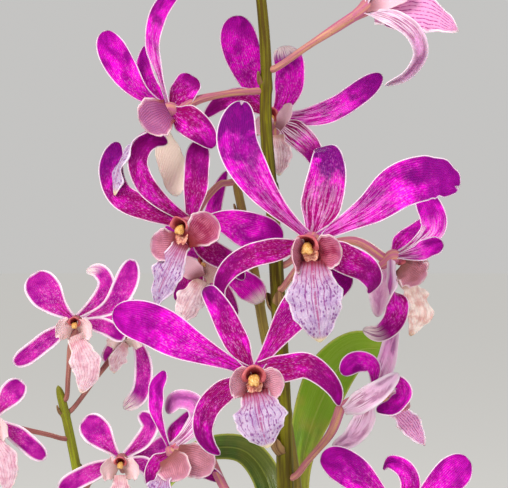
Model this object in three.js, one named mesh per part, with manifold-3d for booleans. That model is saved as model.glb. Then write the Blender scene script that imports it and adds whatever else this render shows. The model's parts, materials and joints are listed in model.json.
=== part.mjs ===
// Potted dendrobium orchid with three sprays of magenta blooms.
// Millimetres. The origin is the centre of the pot's underside, +Z is up and -Y is the front.

import * as THREE from 'three';
import { mergeVertices } from 'three/addons/utils/BufferGeometryUtils.js';
import Module from 'manifold-3d';

const wasm = await Module();
wasm.setup();

// Driving dimensions.

const gap = 0.35;
const tepalThickness = 0.7;
const leafThickness = 1.0;
const hubRadius = 3.4;

const pot = {
  height: 130,
  rimRadius: 75,
  baseRadius: 54,
  wall: 5,
  rimBand: 20,
  rimProud: 3,
  floor: 6,
  holes: 5,
  holeRadius: 5,
  holeRing: 34,
};

const bark = { top: 116, chips: 14, chip: [20, 14, 8], seed: 12 };

const canes = [
  { name: 'cane_front', path: [[8, -8, 70], [11, -6, 180], [12, 2, 310], [10, 5, 418]], thick: 6.2 },
  { name: 'cane_middle', path: [[30, 8, 70], [31, 14, 190], [24, 18, 310], [16, 16, 408]], thick: 5.6 },
  { name: 'cane_far', path: [[-24, 20, 70], [-32, 46, 170], [-45, 82, 270], [-58, 112, 345]], thick: 5.6 },
  { name: 'cane_left', path: [[-20, -18, 70], [-32, -24, 150], [-48, -28, 230], [-62, -26, 292]], thick: 6.6 },
  { name: 'cane_right', path: [[34, -24, 70], [46, -26, 150], [62, -22, 225], [80, -14, 285]], thick: 6.4 },
];

// Leaves: where the leaf leaves its cane (0 to 1 along it), heading, length, rise and width.
// A leaf with a path of its own follows it, measured from where it leaves its cane.
const leaves = {
  cane_front: [
    {
      at: 0.97,
      path: [[0, 3, 0], [-3, 15.5, 24], [-6.8, 25, 38.5], [-13.3, 27, 45.5], [-21.8, 28, 46.5], [-30.3, 29, 43.5],
        [-38.3, 29, 36], [-43, 28, 27]],
      wide: 9.5,
      face: [0, -1, 0.35],
    },
    { at: 0.9, heading: 200, length: 118, rise: 0.35, wide: 27 },
    { at: 0.78, heading: 10, length: 122, rise: 0.45, wide: 28 },
  ],
  cane_middle: [
    {
      at: 0.98,
      path: [[0, 3, 0], [-1.5, 14, 40], [-0.8, 16, 50], [1.5, 18, 59], [5.5, 19, 69], [10, 20, 77.5], [17, 20, 84],
        [27.5, 19, 84.5]],
      wide: 17,
      face: [-0.4, -1, 0.45],
      outline: [[0, 0.4], [0.4, 0.3], [0.6, 0.66], [0.78, 1], [0.91, 0.8], [1, 0.12]],
    },
    { at: 0.86, heading: 75, length: 120, rise: 0.5, wide: 28 },
  ],
  cane_far: [
    { at: 0.93, heading: 60, length: 112, rise: 0.5, wide: 26 },
    { at: 0.8, heading: 215, length: 116, rise: 0.5, wide: 27 },
    { at: 0.66, heading: 100, length: 104, rise: 0.4, wide: 26 },
  ],
  cane_left: [
    { at: 0.99, heading: 240, length: 108, rise: 1.1, wide: 25 },
    { at: 0.9, heading: 195, length: 132, rise: 0.6, wide: 29 },
    { at: 0.76, heading: 290, length: 124, rise: 0.5, wide: 28 },
    { at: 0.6, heading: 170, length: 108, rise: 0.35, wide: 26 },
  ],
  cane_right: [
    { at: 0.99, heading: 20, length: 112, rise: 1.0, wide: 26 },
    { at: 0.9, heading: -25, length: 130, rise: 0.6, wide: 29 },
    { at: 0.76, heading: 45, length: 120, rise: 0.5, wide: 28 },
    { at: 0.6, heading: -70, length: 110, rise: 0.4, wide: 26 },
  ],
};

const sprays = {
  spray_front: {
    path: [
      [10, 5, 419], [9.5, 3, 447], [8.7, 1, 473], [7.6, 0, 497], [5.6, 0, 530], [3.6, 0, 556],
      [3.6, 0, 574], [2.2, 0, 593], [-2, -3, 622], [-9, -8, 648],
    ],
    radii: [2.9, 1.2],
    buds: [
      { at: 0.9, to: [9, -4, 8], radius: 3.6 },
      { at: 0.95, to: [-9, -3, 7], radius: 3.1 },
      { at: 1, to: [-3, -3, 9], radius: 2.6 },
    ],
  },
  spray_middle: {
    path: [[16, 16, 409], [13.5, 14, 440], [9, 12, 470], [3.8, 11, 490], [0, 9, 512], [-4, 4, 532], [-6, 1, 541]],
    radii: [2.1, 1.3],
    buds: [],
  },
  spray_far: {
    path: [[-58, 112, 346], [-64, 130, 380], [-70, 145, 415], [-75, 150, 438], [-79, 150, 456], [-80.5, 149, 462]],
    radii: [2.5, 1.8],
    buds: [],
  },
};

// A bloom is measured from its throat, in the part's own axes. Each tepal is a blade that
// follows its path; the stalk leaves its spray at a height and ends at the throat's back.
const frontFacing = [0, -1, 0];

const plainBloom = {
  facing: frontFacing,
  petal_left: { path: [[-3, 0, 1.5], [-12, -1, 9], [-22, -1, 17], [-31, 0, 23], [-37, 2, 26]], wide: 12 },
  petal_right: { path: [[3, 0, 1.5], [12, -1, 9], [22, -1, 17], [31, 0, 23], [37, 2, 26]], wide: 12 },
  dorsal: { path: [[0, 0, 3], [0, -0.5, 12], [0, 0, 21], [0, 3, 29], [0, 8, 33]], wide: 9 },
  sepal_left: { path: [[-3, 0, -2], [-10, 0, -7], [-16, 0, -14], [-18, 2, -22], [-15, 4, -29]], wide: 8.5 },
  sepal_right: { path: [[3, 0, -2], [10, 0, -7], [16, 0, -14], [18, 2, -22], [15, 4, -29]], wide: 8.5 },
  lip: { path: [[0, -4.5, -5.5], [0, -9, -10], [0, -10.5, -17], [0, -9, -23], [0, -7, -28]], wide: 15 },
  lobe_left: { path: [[-1, 0, 0], [-5, -1.2, 1.4], [-6.8, -2.8, 5.6]], wide: 7 },
  lobe_right: { path: [[1, 0, 0], [5, -1.2, 1.4], [6.8, -2.8, 5.6]], wide: 7 },
  column: [0, -8, 0],
  spur: [0, 5, -6],
};

const blooms = [
  {
    name: 'bloom_centre',
    at: [16.2, -28, 521],
    stalk: { spray: 'spray_front', height: 506, via: [[10, -6, 509], [14, -16, 515]] },
    petal_left: { path: [[-2, 0, 2], [-10.5, -1, 10], [-16.5, -2, 18], [-21, -1, 28], [-19.5, 3, 39.5]], wide: 11.5 },
    petal_right: { path: [[4, 0, 1.5], [16.5, -1, 9], [25, -2, 15.5], [34.5, -1, 17.5], [41.5, 1, 14.5]], wide: 12.8 },
    dorsal: { path: [[0.5, 0, 3], [3.2, -0.5, 13], [4, 0, 20], [3.5, 3, 25.5], [3, 8, 26]], wide: 10.5 },
    sepal_left: {
      path: [[-4, 0, -3], [-12, -1, -3], [-17.5, 0, -4.5], [-23, 2, -8], [-25.8, 5, -13], [-25, 7, -18]],
      wide: 8,
    },
    sepal_right: { path: [[3.5, 0, -2.5], [9, -1, -5], [15, 0, -8], [17.5, 3, -12], [16.5, 6, -15]], wide: 8.5 },
    lip: { path: [[0, -4.5, -5.5], [0, -9, -10], [0.6, -10.5, -17], [1.5, -9.5, -23], [2.3, -7, -28]], wide: 16 },
  },
  {
    name: 'bloom_lower',
    at: [0, -30, 484],
    stalk: { spray: 'spray_front', height: 478, via: [[6, -8, 478], [2, -20, 481]] },
    petal_left: { path: [[-3, 0, 1], [-18, -1, 8], [-27.7, -2, 13.4], [-34.7, -1, 15.7], [-39.5, 1, 17]], wide: 12 },
    petal_right: { path: [[2.5, 0, 4], [6.7, 0, 10.4], [11.2, 1, 16.5], [18.5, 5, 23], [27.7, 9, 27.4]], wide: 12 },
    dorsal: { path: [[-2, 0, 3], [-6, -0.5, 11], [-9.5, -0.5, 18], [-12.5, 1, 22.5], [-14, 6, 23.5]], wide: 8 },
    sepal_left: {
      path: [[-3.5, 0, -2.5], [-9, 0, -5.5], [-13, 0, -10], [-14.2, 0, -16], [-12.3, 1, -20.5], [-9.5, 2, -23]],
      wide: 8,
    },
    sepal_right: {
      path: [[3, 0, 0.5], [8.7, -0.5, 1.5], [14.3, 0, 2.2], [19, 1, -0.6], [22.7, 2, -5], [24, 4, -9.5]],
      wide: 9,
    },
    lip: { path: [[0.3, -4.5, -5.5], [1.7, -8.5, -10.5], [2.2, -9.5, -16], [2.8, -8, -21]], wide: 14.5 },
  },
  {
    name: 'bloom_left',
    at: [-19, -14, 525.5],
    stalk: { spray: 'spray_middle', height: 539, via: [[-10, -2, 538], [-16, -6, 531]] },
    petal_left: { path: [[-1, 0, 3.5], [-6.5, -1, 7.5], [-11, -1.5, 13], [-12.5, -0.5, 19], [-9.3, 3.5, 24.5]], wide: 7 },
    petal_right: { path: [[3, 0, 1], [10, -1, 1], [19, -1, -2], [27.5, 0, -4]], wide: 11 },
    dorsal: { path: [[2, 0, 4], [2.5, 1, 11], [2.3, 2, 17], [2, 5, 22]], wide: 7 },
    sepal_left: {
      path: [[-3, 0, 0.5], [-11.5, -1, 4.3], [-19.7, -1, 8.7], [-22.6, 1, 16], [-21.5, 3, 24.5]],
      wide: 7,
    },
    sepal_right: { path: [[1.7, 0, -3], [6.4, 1, -7.5], [12.2, 3, -11], [16, 6, -16]], wide: 7 },
    lip: { path: [[-1.5, -4.5, -5], [-4.5, -7, -11], [-7.3, -7, -17.5], [-9.6, -5, -24]], wide: 12, twist: 50 },
    lobe_left: { path: [[-1, 0, 0], [-5.6, -1.4, 0.8], [-9, -2, 2.5]], wide: 8.5 },
    lobe_right: { path: [[1, 0, 0], [5, -2, 2.6], [8.4, -3.6, 6.5]], wide: 8.5 },
    column: [-3, -8, 0],
  },
  {
    name: 'bloom_upper_left',
    at: [-24.5, -12, 559],
    facing: [-0.8, -0.6, -0.2],
    stalk: { spray: 'spray_front', height: 566, via: [[-8, -2, 565], [-18, -7, 562]] },
    petal_left: {
      path: [[-3, -2, 1], [-8.8, -3, 5.3], [-14, -4, 12.3], [-17, -4, 18], [-18.7, -3, 22.8]],
      wide: 9,
      face: frontFacing,
    },
    petal_right: {
      path: [[-0.3, 0, 1], [-2.9, 0, 10.2], [-5, 0, 19], [-3.5, 0, 27.7], [0.6, 1, 33.9], [4.1, 2, 36.2]],
      wide: 7,
      twist: 60,
    },
    dorsal: { path: [[-2, 2, 2], [-6.4, 4, 7.3], [-8.2, 6, 14], [-7.9, 7, 19.9]], wide: 6, face: frontFacing },
    sepal_left: { path: [[1, 2, 1.5], [3.8, 4, 5.8], [6.7, 8, 10]], wide: 6, face: frontFacing },
    sepal_right: { path: [[1.2, -2, -0.6], [5.8, -3, -3.5], [10.2, -3, -7.3], [12.9, -2, -11.1]], wide: 9, face: frontFacing },
    lip: { path: [[-3, -4.5, -5], [-6.4, -7, -11.7], [-11.7, -8, -17], [-16, -7, -22.8]], wide: 8, twist: 40 },
    lobe_left: { path: [[0, -0.4, 0.4], [-1.6, -1.8, 1.5], [-4, -3, 2.5]], wide: 10.5, face: frontFacing },
    lobe_right: { path: [[0.4, 0.2, 0], [4.4, 5.5, -9], [5.2, 8, -15.4], [6.3, 9.5, -21]], wide: 7, face: frontFacing },
    column: [-7, -3, -2],
    spur: [5, 3, -3],
  },
  {
    name: 'bloom_behind',
    at: [6.5, 14, 559],
    stalk: { spray: 'spray_front', height: 547, via: [[-3, 7, 550], [0, 18, 555]] },
    petal_left: { path: [[-2, 0, 2], [-5.9, 0, 8.6], [-9.2, 0, 17.9], [-11.4, 1, 25.6], [-11.7, 3, 32.6]], wide: 12 },
    petal_right: { path: [[1.5, 0, 2], [4, 1, 8.6], [4.6, 2, 16.3], [2.8, 6, 23.4]], wide: 9.5 },
    dorsal: { path: [[4, 0, 0], [10.8, 0, 0.6], [18.5, 0, 3], [26.2, 0, 8], [33, 1, 13.5]], wide: 7.5 },
    sepal_left: { path: [[-4, 0, 3], [-9.2, -1, 6.2], [-16.3, -2, 5], [-22.2, -2, 0]], wide: 6.5 },
    sepal_right: { path: [[1.5, 0, -2], [7, -1, -5.2], [11.4, -1, -9.9], [13.2, 1, -15.4]], wide: 8 },
    lip: { path: [[0.4, -4.5, -5.5], [0.9, -6, -10.5], [1.2, -5, -18]], wide: 9 },
    column: [0, -7, 0],
  },
  {
    name: 'bloom_top_right',
    at: [33, -4, 590],
    facing: [1, 0, 0.1],
    stalk: { spray: 'spray_front', height: 572, via: [[16, -3, 579]] },
    petal_left: { path: [[1, -2, 3], [6, -6, 12], [12, -8, 21], [20, -7, 28]], wide: 10 },
    petal_right: { path: [[2, 3, 3], [9, 6, 11], [17, 8, 18], [26, 8, 22]], wide: 10 },
    dorsal: { path: [[0, 0, 3], [1, 0, 12], [0, 1, 20], [-4, 2, 26]], wide: 9 },
    sepal_left: {
      path: [[1, -3, -2], [8, -9.4, -4.2], [13.4, -9.8, -8.9], [15.8, -8, -14], [12.8, -6, -19], [5.7, -5, -23.8]],
      wide: 7.5,
      face: [0.2, -1, 0.2],
    },
    sepal_right: { path: [[3, 3, 0], [9, 9, -1], [17, 11, -2], [26, 11, -4]], wide: 8, face: [0, -1, 0.2] },
    lip: { path: [[5, -1, -3.5], [12, -1, -2], [20, -1, -3], [28, -1, -6.5]], wide: 11, face: [0, 0, 1] },
    lobe_left: { path: [[0, -1, 0.2], [3.5, -4.6, 2.6], [7.5, -5.4, 6]], wide: 9, face: [0, 1, 0.3] },
    lobe_right: { path: [[0, 1, 0.2], [3.5, 5.2, 2.6], [7.5, 6.2, 6]], wide: 8, face: [0, -1, 0.3] },
    column: [6, 0.6, 6.5],
    spur: [-5, 0, -3.5],
  },
  {
    name: 'bloom_right',
    at: [41.5, -2, 516],
    facing: [0.9, -0.2, -0.4],
    stalk: { spray: 'spray_front', height: 513, via: [[14, 3, 517], [30, 2, 521]] },
    petal_left: {
      path: [[1.5, -3, 0.5], [6.7, -4, 1.3], [11.2, -5, 3.2], [14.5, -5, 4.3]],
      wide: 6.5,
      face: [0.2, -1, 0.4],
    },
    petal_right: {
      path: [[1.5, 0, 1], [7.5, 1, 4], [12.3, 2, 8.7], [11.1, 3, 15.5], [8, 4, 20]],
      wide: 8.5,
      face: frontFacing,
    },
    dorsal: { path: [[0.5, 2, 2], [4.5, 4, 5.2], [8.7, 6, 8.7], [11, 8, 12]], wide: 7, face: [-0.3, -1, 0.3] },
    sepal_left: {
      path: [[-1.5, -3, -1.5], [-0.8, -4, -5.5], [-0.5, -4.5, -9.8], [0.8, -5, -14.2], [-0.5, -5, -19],
        [-4.4, -4, -22.3], [-9.2, -3, -21.4]],
      wide: 6.5,
      face: frontFacing,
    },
    sepal_right: {
      path: [[-2.4, 2, -1.5], [-3.6, 3, -8.4], [-3.9, 3, -14.4], [-4.5, 3, -20]],
      wide: 7,
      face: frontFacing,
    },
    lip: { path: [[4, -1, -5.5], [6.5, -1, -12.2], [7.8, -1, -17.4], [4.6, 0, -23.5]], wide: 9.5, face: [0.6, -0.8, 0] },
    lobe_left: { path: [[0, -0.3, 0], [3, -3, -0.5], [7, -4, -1]], wide: 9.5, face: [0.3, -0.9, 0] },
    lobe_right: { path: [[0, 0.2, 0], [3.4, 2.4, 0.6], [7.6, 3.6, 0.5]], wide: 8, face: [0.3, -0.9, 0] },
    column: [7, 0, 0.5],
    spur: [-4, 1, -3],
  },
  {
    name: 'bloom_lower_right',
    at: [35, -5, 475],
    facing: [0.8, 0.2, -0.4],
    stalk: { spray: 'spray_front', height: 449, via: [[16, -2, 455], [23, -4, 464]], atSpur: true },
    petal_left: {
      path: [[1.5, -1, 3], [0, -1, 8.9], [-4.8, -1, 10.1], [-9.2, -1, 6.5]],
      wide: 6.5,
      face: [0, -1, 0.2],
    },
    petal_right: {
      path: [[2.4, -3, 0], [7.1, -6, -0.6], [4.8, -7.5, -3.6], [0.3, -7.5, -4.5]],
      wide: 6.5,
      face: frontFacing,
    },
    dorsal: { path: [[2, 1, 3], [4.5, 1, 10.1], [5.9, 2, 16], [7.7, 3, 21.4]], wide: 7, face: [-0.4, 1, 0] },
    sepal_left: { path: [[0.8, -2, 0.4], [3.8, -4, 3.2], [7.4, -4, 7]], wide: 8, face: [0, 0.9, -0.4] },
    sepal_right: {
      path: [[-1, 1, -3], [-3, 1, -8.6], [-6.5, 1, -13], [-11.6, 2, -15.4]],
      wide: 7.5,
      face: [0.2, 1, 0],
    },
    lip: { path: [[5, 1, -3.5], [9.5, 1, -6.5], [13, 1, -10.7], [15.4, 2, -14.9]], wide: 9, face: [0, -1, 0.3] },
    lobe_left: { path: [[0, -0.8, 0], [3.5, -3, 1.5], [6, -4.5, 1]], wide: 6.5, face: [0, 1, 0.3] },
    lobe_right: { path: [[0, 0.8, 0], [3.5, 4, 1.5], [6, 5.5, 1]], wide: 6.5, face: [0, -1, 0.3] },
    column: [7, 1, 2],
    spur: [-9.5, 0, -3],
  },
  {
    name: 'bloom_bottom',
    at: [43, -10, 441.5],
    stalk: { spray: 'spray_front', height: 438, via: [[18, 1, 439], [34, -2, 440]] },
    petal_left: { path: [[-2.5, 0, 2], [-8.2, -1, 7], [-14, -1, 11.7], [-19, 0, 14.7], [-23.5, 1, 16]], wide: 10.5 },
    petal_right: { path: [[2.3, 0, 1.5], [10.3, -1, 7], [16.1, -1, 12.3], [20, 0, 15.5]], wide: 10.5 },
    dorsal: { path: [[0.5, 0, 2], [2.9, 0, 8], [1.2, 1, 12.3], [-2.9, 3, 14.1], [-4.5, 6, 11.5]], wide: 6 },
  },
  {
    name: 'bloom_inner',
    at: [-14.5, 6, 514.5],
    facing: [-0.4, -0.9, -0.2],
    stalk: { spray: 'spray_middle', height: 503, via: [[-6, 9, 507]] },
    petal_left: { path: [[-2, 0, 2], [-7, 2, 5], [-11, 5, 8], [-13, 8, 11]], wide: 9 },
    petal_right: { path: [[2.4, 0, -1.8], [7.9, -1, -4], [13.4, -1, -7.9], [17, 0, -12.2]], wide: 9 },
    dorsal: { path: [[0.6, 1, 3.7], [1.8, 2, 14.3], [3.7, 3, 22], [6.1, 4, 28]], wide: 6 },
    sepal_left: { path: [[-2, 0, -2], [-5, 3, -6], [-8, 6, -9], [-10, 9, -12]], wide: 7 },
    sepal_right: { path: [[1, 2, -3], [4, 5, -8], [7, 8, -13], [9, 11, -17]], wide: 7 },
    lip: { path: [[-1.2, -4.5, -5.5], [-3.7, -7, -9.5], [-6, -7.5, -14], [-8, -6, -18.5]], wide: 10 },
    column: [-1.2, -8, 0],
  },
  {
    name: 'bloom_above',
    at: [-26, -20, 612],
    stalk: { spray: 'spray_front', height: 604, via: [[-8, -8, 606], [-20, -14, 609]] },
    petal_left: { path: [[-3, 0, 1.5], [-12, 0, 9], [-20, 1, 16], [-27, 3, 21]], wide: 11 },
    petal_right: { path: [[3, 0, 1.5], [11, 0, 10], [18, 1, 18], [24, 3, 24]], wide: 11 },
    dorsal: { path: [[0, 0, 3], [0, 0, 12], [-1, 1, 20], [-1, 5, 26]], wide: 8.5 },
    sepal_left: { path: [[-3, 0, -2], [-10, 0, -5], [-17, 1, -10], [-21, 3, -16]], wide: 8 },
    sepal_right: { path: [[3, 0, -2], [9, 0, -6], [13, 1, -12], [13, 3, -18]], wide: 8 },
    lip: { path: [[0, -4.5, -5.5], [0, -8, -10], [0, -9, -16], [0, -8, -22]], wide: 13 },
  },
  {
    name: 'bloom_far_top',
    at: [-72.5, 146, 488.5],
    stalk: { spray: 'spray_far', height: 455, via: [[-76, 147, 466], [-75, 148, 478]] },
    petal_left: { path: [[-1.5, 0, 1], [-8.2, 0, 6.6], [-13.6, 0, 13.2], [-17.7, 1, 19.7]], wide: 14.5 },
    petal_right: { path: [[2, 0, 1], [14, 0, 6.2], [19.7, 0, 14.4], [23, 1, 25.5]], wide: 10 },
    dorsal: { path: [[1.5, 0, 3], [10.3, 1, 10.5], [11.9, 2, 16], [8.6, 4, 20.5], [3.3, 6, 20.6]], wide: 7 },
    sepal_left: { path: [[-2, 0, -1], [-11.5, 0, -7.4], [-18.9, 0, -13.2], [-25.9, 1, -17.7]], wide: 8 },
    sepal_right: { path: [[2.5, 0, 0], [12.3, 0, -2.5], [19.7, 1, -7.4]], wide: 7 },
    lip: { path: [[0, -4.5, -5.5], [3.3, -6, -13.2], [4.9, -6, -20.6], [2.5, -5, -29]], wide: 13 },
  },
  {
    name: 'bloom_far_behind',
    at: [-52.5, 163, 484],
    facing: [0.5, -0.8, -0.3],
    stalk: { spray: 'spray_far', height: 450, via: [[-66, 158, 464], [-57, 166, 476]] },
    petal_left: { path: [[-3, 1, 1], [-8, 4, 4], [-12, 8, 6], [-15, 12, 6]], wide: 8 },
    petal_right: { path: [[3, 1, 1], [8, 3, 1.5], [12, 5, 0], [15, 7, -2]], wide: 8 },
    dorsal: { path: [[0, 1, 3], [1, 4, 7], [2, 8, 10], [2, 12, 11]], wide: 7 },
    sepal_left: { path: [[-2, 1, -2], [-6, 4, -6], [-9, 7, -10], [-10, 9, -15]], wide: 7 },
    sepal_right: { path: [[2, 0, -2], [5, 0.5, -10], [6, -1, -19], [4.5, -3, -27], [-2, -3, -33]], wide: 8 },
    lip: { path: [[-1, -4.5, -5.5], [-3, -6, -10], [-5, -6, -14], [-6, -5, -18]], wide: 9 },
    lobe_left: { path: [[-0.6, -0.3, 0], [-4.2, -2.6, 1.4], [-5.6, -4.6, 5]], wide: 7 },
    lobe_right: { path: [[0.4, 0.2, 0], [4.2, 1, 1.4], [6, 0.6, 5]], wide: 7 },
    column: [-1, -8, 0],
  },
  {
    name: 'bloom_far_left',
    at: [-105, 138, 449],
    stalk: { spray: 'spray_far', height: 440, via: [[-84, 147, 442], [-97, 145, 445]] },
    petal_left: { path: [[-1.5, 0, 2], [-9, 0, 9], [-15, 1, 15], [-19, 2, 21]], wide: 11 },
    petal_right: { path: [[1.5, 0, 2], [6, 0, 9], [12, 0, 16]], wide: 10 },
    dorsal: { path: [[0, 0, 3], [-1, 0, 11], [-2, 1, 18], [-2, 4, 23]], wide: 7 },
    sepal_left: { path: [[-2, 0, -1], [-10, 0, -5], [-17, 0, -10], [-22, 1, -15]], wide: 8 },
    sepal_right: { path: [[2, 0, -1], [9.7, 0, -5.7], [16, 0, -11], [21, 1, -15.8]], wide: 8 },
    lip: { path: [[0, -4.5, -5.5], [4.5, -6, -13], [6.5, -6, -21], [6.3, -5, -28]], wide: 12 },
  },
  {
    name: 'bloom_far_low',
    at: [-52.5, 131, 434.5],
    stalk: { spray: 'spray_far', height: 418, via: [[-66, 141, 424], [-57, 138, 430]] },
    petal_left: { path: [[-2, 0, 1.5], [-6, 0, 6.4], [-10.8, 0, 12], [-15.6, 1, 16]], wide: 12 },
    petal_right: { path: [[3, 1, 1], [10, 3, 2], [17, 6, 5], [22, 9, 9]], wide: 9 },
    dorsal: { path: [[2.5, 0, 3], [9, 0, 8.5], [11.2, 0, 14], [6.8, 1, 18.5]], wide: 7 },
    sepal_left: { path: [[-2.5, 0, -1], [-11.2, 0, -4.8], [-19.2, 0, -8.8], [-25.2, 1, -12.8]], wide: 8 },
    sepal_right: { path: [[3, 0, -1], [8.8, 0, -2.2], [12, 1, -6], [10.8, 2, -11]], wide: 7 },
    lip: { path: [[0, -4.5, -5.5], [0, -6, -12], [1, -6, -19], [1, -5, -25]], wide: 11 },
  },
  {
    name: 'bloom_low',
    at: [-25.5, 12, 456],
    facing: [-0.5, -0.8, -0.2],
    stalk: { spray: 'spray_middle', height: 424, via: [[10, 10.6, 427], [-1, 12, 433], [-8.5, 13.5, 443]], atSpur: true },
    petal_left: { path: [[-1.6, 0, 2.4], [-4.3, 0, 10.9], [-4.6, 0, 18.6], [-2.2, 1, 24.8]], wide: 6.2 },
    petal_right: {
      path: [[0.8, -1, 2.4], [4, -1, 6.9], [7.7, -1, 10.9], [6.4, 0, 15.2], [0.8, 1, 15.6], [-1.2, 2, 12.4]],
      wide: 4.2,
    },
    dorsal: { path: [[0, 1, 2.4], [1.6, 3, 6.4], [4.8, 6, 9.6], [8, 8, 12]], wide: 6 },
    sepal_left: { path: [[-1.6, 0, -1.6], [-4.8, 2, -4.8], [-6.4, 3, -8.8], [-7.2, 5, -12.8]], wide: 6 },
    sepal_right: { path: [[2.4, 0, -1.6], [7.2, 0, -4], [12, 1, -7.2], [16, 2, -9.6]], wide: 7 },
    lip: { path: [[-1.2, -4.5, -5.5], [-3, -6, -9.5], [-4.4, -6, -13.5], [-6, -5, -17.5]], wide: 9 },
    column: [-1.2, -8, 0],
    spur: [11.5, 2, -0.5],
  },
];

// Half widths along a blade, as a share of the full half width, from its root to its tip.
const petalOutline = [[0, 0.24], [0.3, 0.56], [0.58, 0.94], [0.84, 0.94], [1, 0.24]];
const sepalOutline = [[0, 0.34], [0.28, 0.95], [0.55, 0.95], [0.8, 0.66], [1, 0.14]];
const lipOutline = [[0, 0.26], [0.22, 0.55], [0.42, 1], [0.66, 0.96], [0.86, 0.6], [1, 0.12]];
const lobeOutline = [[0, 0.34], [0.55, 1], [1, 0.55]];
const leafOutline = [[0, 0.3], [0.2, 0.8], [0.48, 1], [0.78, 0.74], [1, 0.08]];

const colours = {
  petal: new THREE.MeshStandardMaterial({ color: 0xbf1aae, roughness: 0.5, metalness: 0 }),
  lip: new THREE.MeshStandardMaterial({ color: 0xe9c9e2, roughness: 0.55, metalness: 0 }),
  stem: new THREE.MeshStandardMaterial({ color: 0x6f7420, roughness: 0.5, metalness: 0 }),
  leafyStem: new THREE.MeshStandardMaterial({ color: 0x4f7a1c, roughness: 0.45, metalness: 0 }),
  pot: new THREE.MeshStandardMaterial({ color: 0xb2613c, roughness: 0.85, metalness: 0 }),
  bark: new THREE.MeshStandardMaterial({ color: 0x5a3822, roughness: 0.95, metalness: 0 }),
  root: new THREE.MeshStandardMaterial({ color: 0xb9b79a, roughness: 0.8, metalness: 0 }),
};

// Solids.

function vector(list) {
  return new THREE.Vector3(...list);
}

function geometryFrom(positions, triangles) {
  const geometry = new THREE.BufferGeometry();
  geometry.setAttribute('position', new THREE.Float32BufferAttribute(positions, 3));
  geometry.setIndex(triangles);
  return geometry;
}

function toSolid(source) {
  const bare = source.index ? source.clone() : source;
  bare.deleteAttribute('normal');
  bare.deleteAttribute('uv');
  const merged = mergeVertices(bare, 1e-4);
  return new wasm.Manifold(new wasm.Mesh({
    numProp: 3,
    vertProperties: new Float32Array(merged.attributes.position.array),
    triVerts: new Uint32Array(merged.index.array),
  }));
}

function toGeometry(solid) {
  const mesh = solid.getMesh();
  const geometry = geometryFrom(Array.from(mesh.vertProperties), Array.from(mesh.triVerts));
  geometry.computeVertexNormals();
  return geometry;
}

function joined(solids) {
  return solids.reduce((whole, solid) => whole.add(solid));
}

// Frames along a curve that turn with it and don't spin round it.
function framesAlong(curve, stops, face, steady = false) {
  const frames = [];
  let across = vector(face);
  for (const stop of stops) {
    const along = curve.getTangentAt(stop);
    if (steady) across = vector(face);
    across = across.clone().addScaledVector(along, -across.dot(along)).normalize();
    frames.push({ point: curve.getPointAt(stop), along, up: across, side: along.clone().cross(across) });
  }
  return frames;
}

// A thin blade: it follows a path, has an outline, a hollow across it and a waved margin,
// and is split into triangles alike on both faces.
function bladeSolid(blade) {
  const { path, wide, face, outline, steady, thick, twist = 0, cup = 0.18, wave = 0, waves = 3, across = 2 } = blade;
  const curve = new THREE.CatmullRomCurve3(path.map(vector), false, 'centripetal');
  const frames = framesAlong(curve, outline.map(([stop]) => stop), face, steady);
  const positions = [];
  const row = across + 1;
  for (const side of [0.5, -0.5]) {
    frames.forEach(({ point, along, up, side: sideways }, i) => {
      const [stop, share] = outline[i];
      const half = (wide / 2) * share;
      const turn = THREE.MathUtils.degToRad(twist) * stop;
      const normal = up.clone().applyAxisAngle(along, turn);
      const lateral = sideways.clone().applyAxisAngle(along, turn);
      for (let j = 0; j < row; j += 1) {
        const s = (2 * j) / across - 1;
        const ripple = wave * s * s * Math.sin(2 * Math.PI * waves * stop + (s > 0 ? 1.6 : 0));
        const lift = cup * half * (s * s - 0.5) + ripple * share + side * thick;
        const spot = point.clone().addScaledVector(lateral, s * half).addScaledVector(normal, lift);
        positions.push(spot.x, spot.y, spot.z);
      }
    });
  }
  const count = frames.length * row;
  const triangles = [];
  const quad = (a, b, c, d) => triangles.push(a, b, c, a, c, d);
  for (let i = 0; i < frames.length - 1; i += 1) {
    for (let j = 0; j < across; j += 1) {
      const a = i * row + j;
      const b = a + row;
      quad(a, a + 1, b + 1, b);
      triangles.push(count + a, count + b + 1, count + a + 1, count + a, count + b, count + b + 1);
    }
    const left = i * row;
    const right = left + across;
    quad(left, left + row, count + left + row, count + left);
    quad(right, count + right, count + right + row, right + row);
  }
  const last = (frames.length - 1) * row;
  for (let j = 0; j < across; j += 1) {
    quad(j, count + j, count + j + 1, j + 1);
    quad(last + j, last + j + 1, count + last + j + 1, count + last + j);
  }
  return toSolid(geometryFrom(positions, triangles));
}

// A round limb that follows a path through rings, each a stop along it and a radius, closed at both ends.
function limbSolid(path, rings, sides, extra = 0) {
  const curve = new THREE.CatmullRomCurve3(path.map((spot) => (spot.isVector3 ? spot : vector(spot))));
  const first = curve.getTangentAt(0);
  const face = Math.abs(first.z) > 0.8 ? [0, -1, 0] : [0, 0, 1];
  const frames = framesAlong(curve, rings.map(([stop]) => stop), face);
  const positions = [];
  frames.forEach(({ point, up, side }, i) => {
    const radius = rings[i][1] + extra;
    for (let k = 0; k < sides; k += 1) {
      const angle = (2 * Math.PI * k) / sides;
      const spot = point.clone().addScaledVector(up, radius * Math.cos(angle));
      spot.addScaledVector(side, radius * Math.sin(angle));
      positions.push(spot.x, spot.y, spot.z);
    }
  });
  const triangles = [];
  for (let i = 0; i < rings.length - 1; i += 1) {
    for (let k = 0; k < sides; k += 1) {
      const a = i * sides + k;
      const b = i * sides + ((k + 1) % sides);
      triangles.push(a, b + sides, a + sides, a, b, b + sides);
    }
  }
  const top = (rings.length - 1) * sides;
  for (let k = 1; k < sides - 1; k += 1) {
    triangles.push(0, k + 1, k, top, top + k, top + k + 1);
  }
  return toSolid(geometryFrom(positions, triangles));
}

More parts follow.
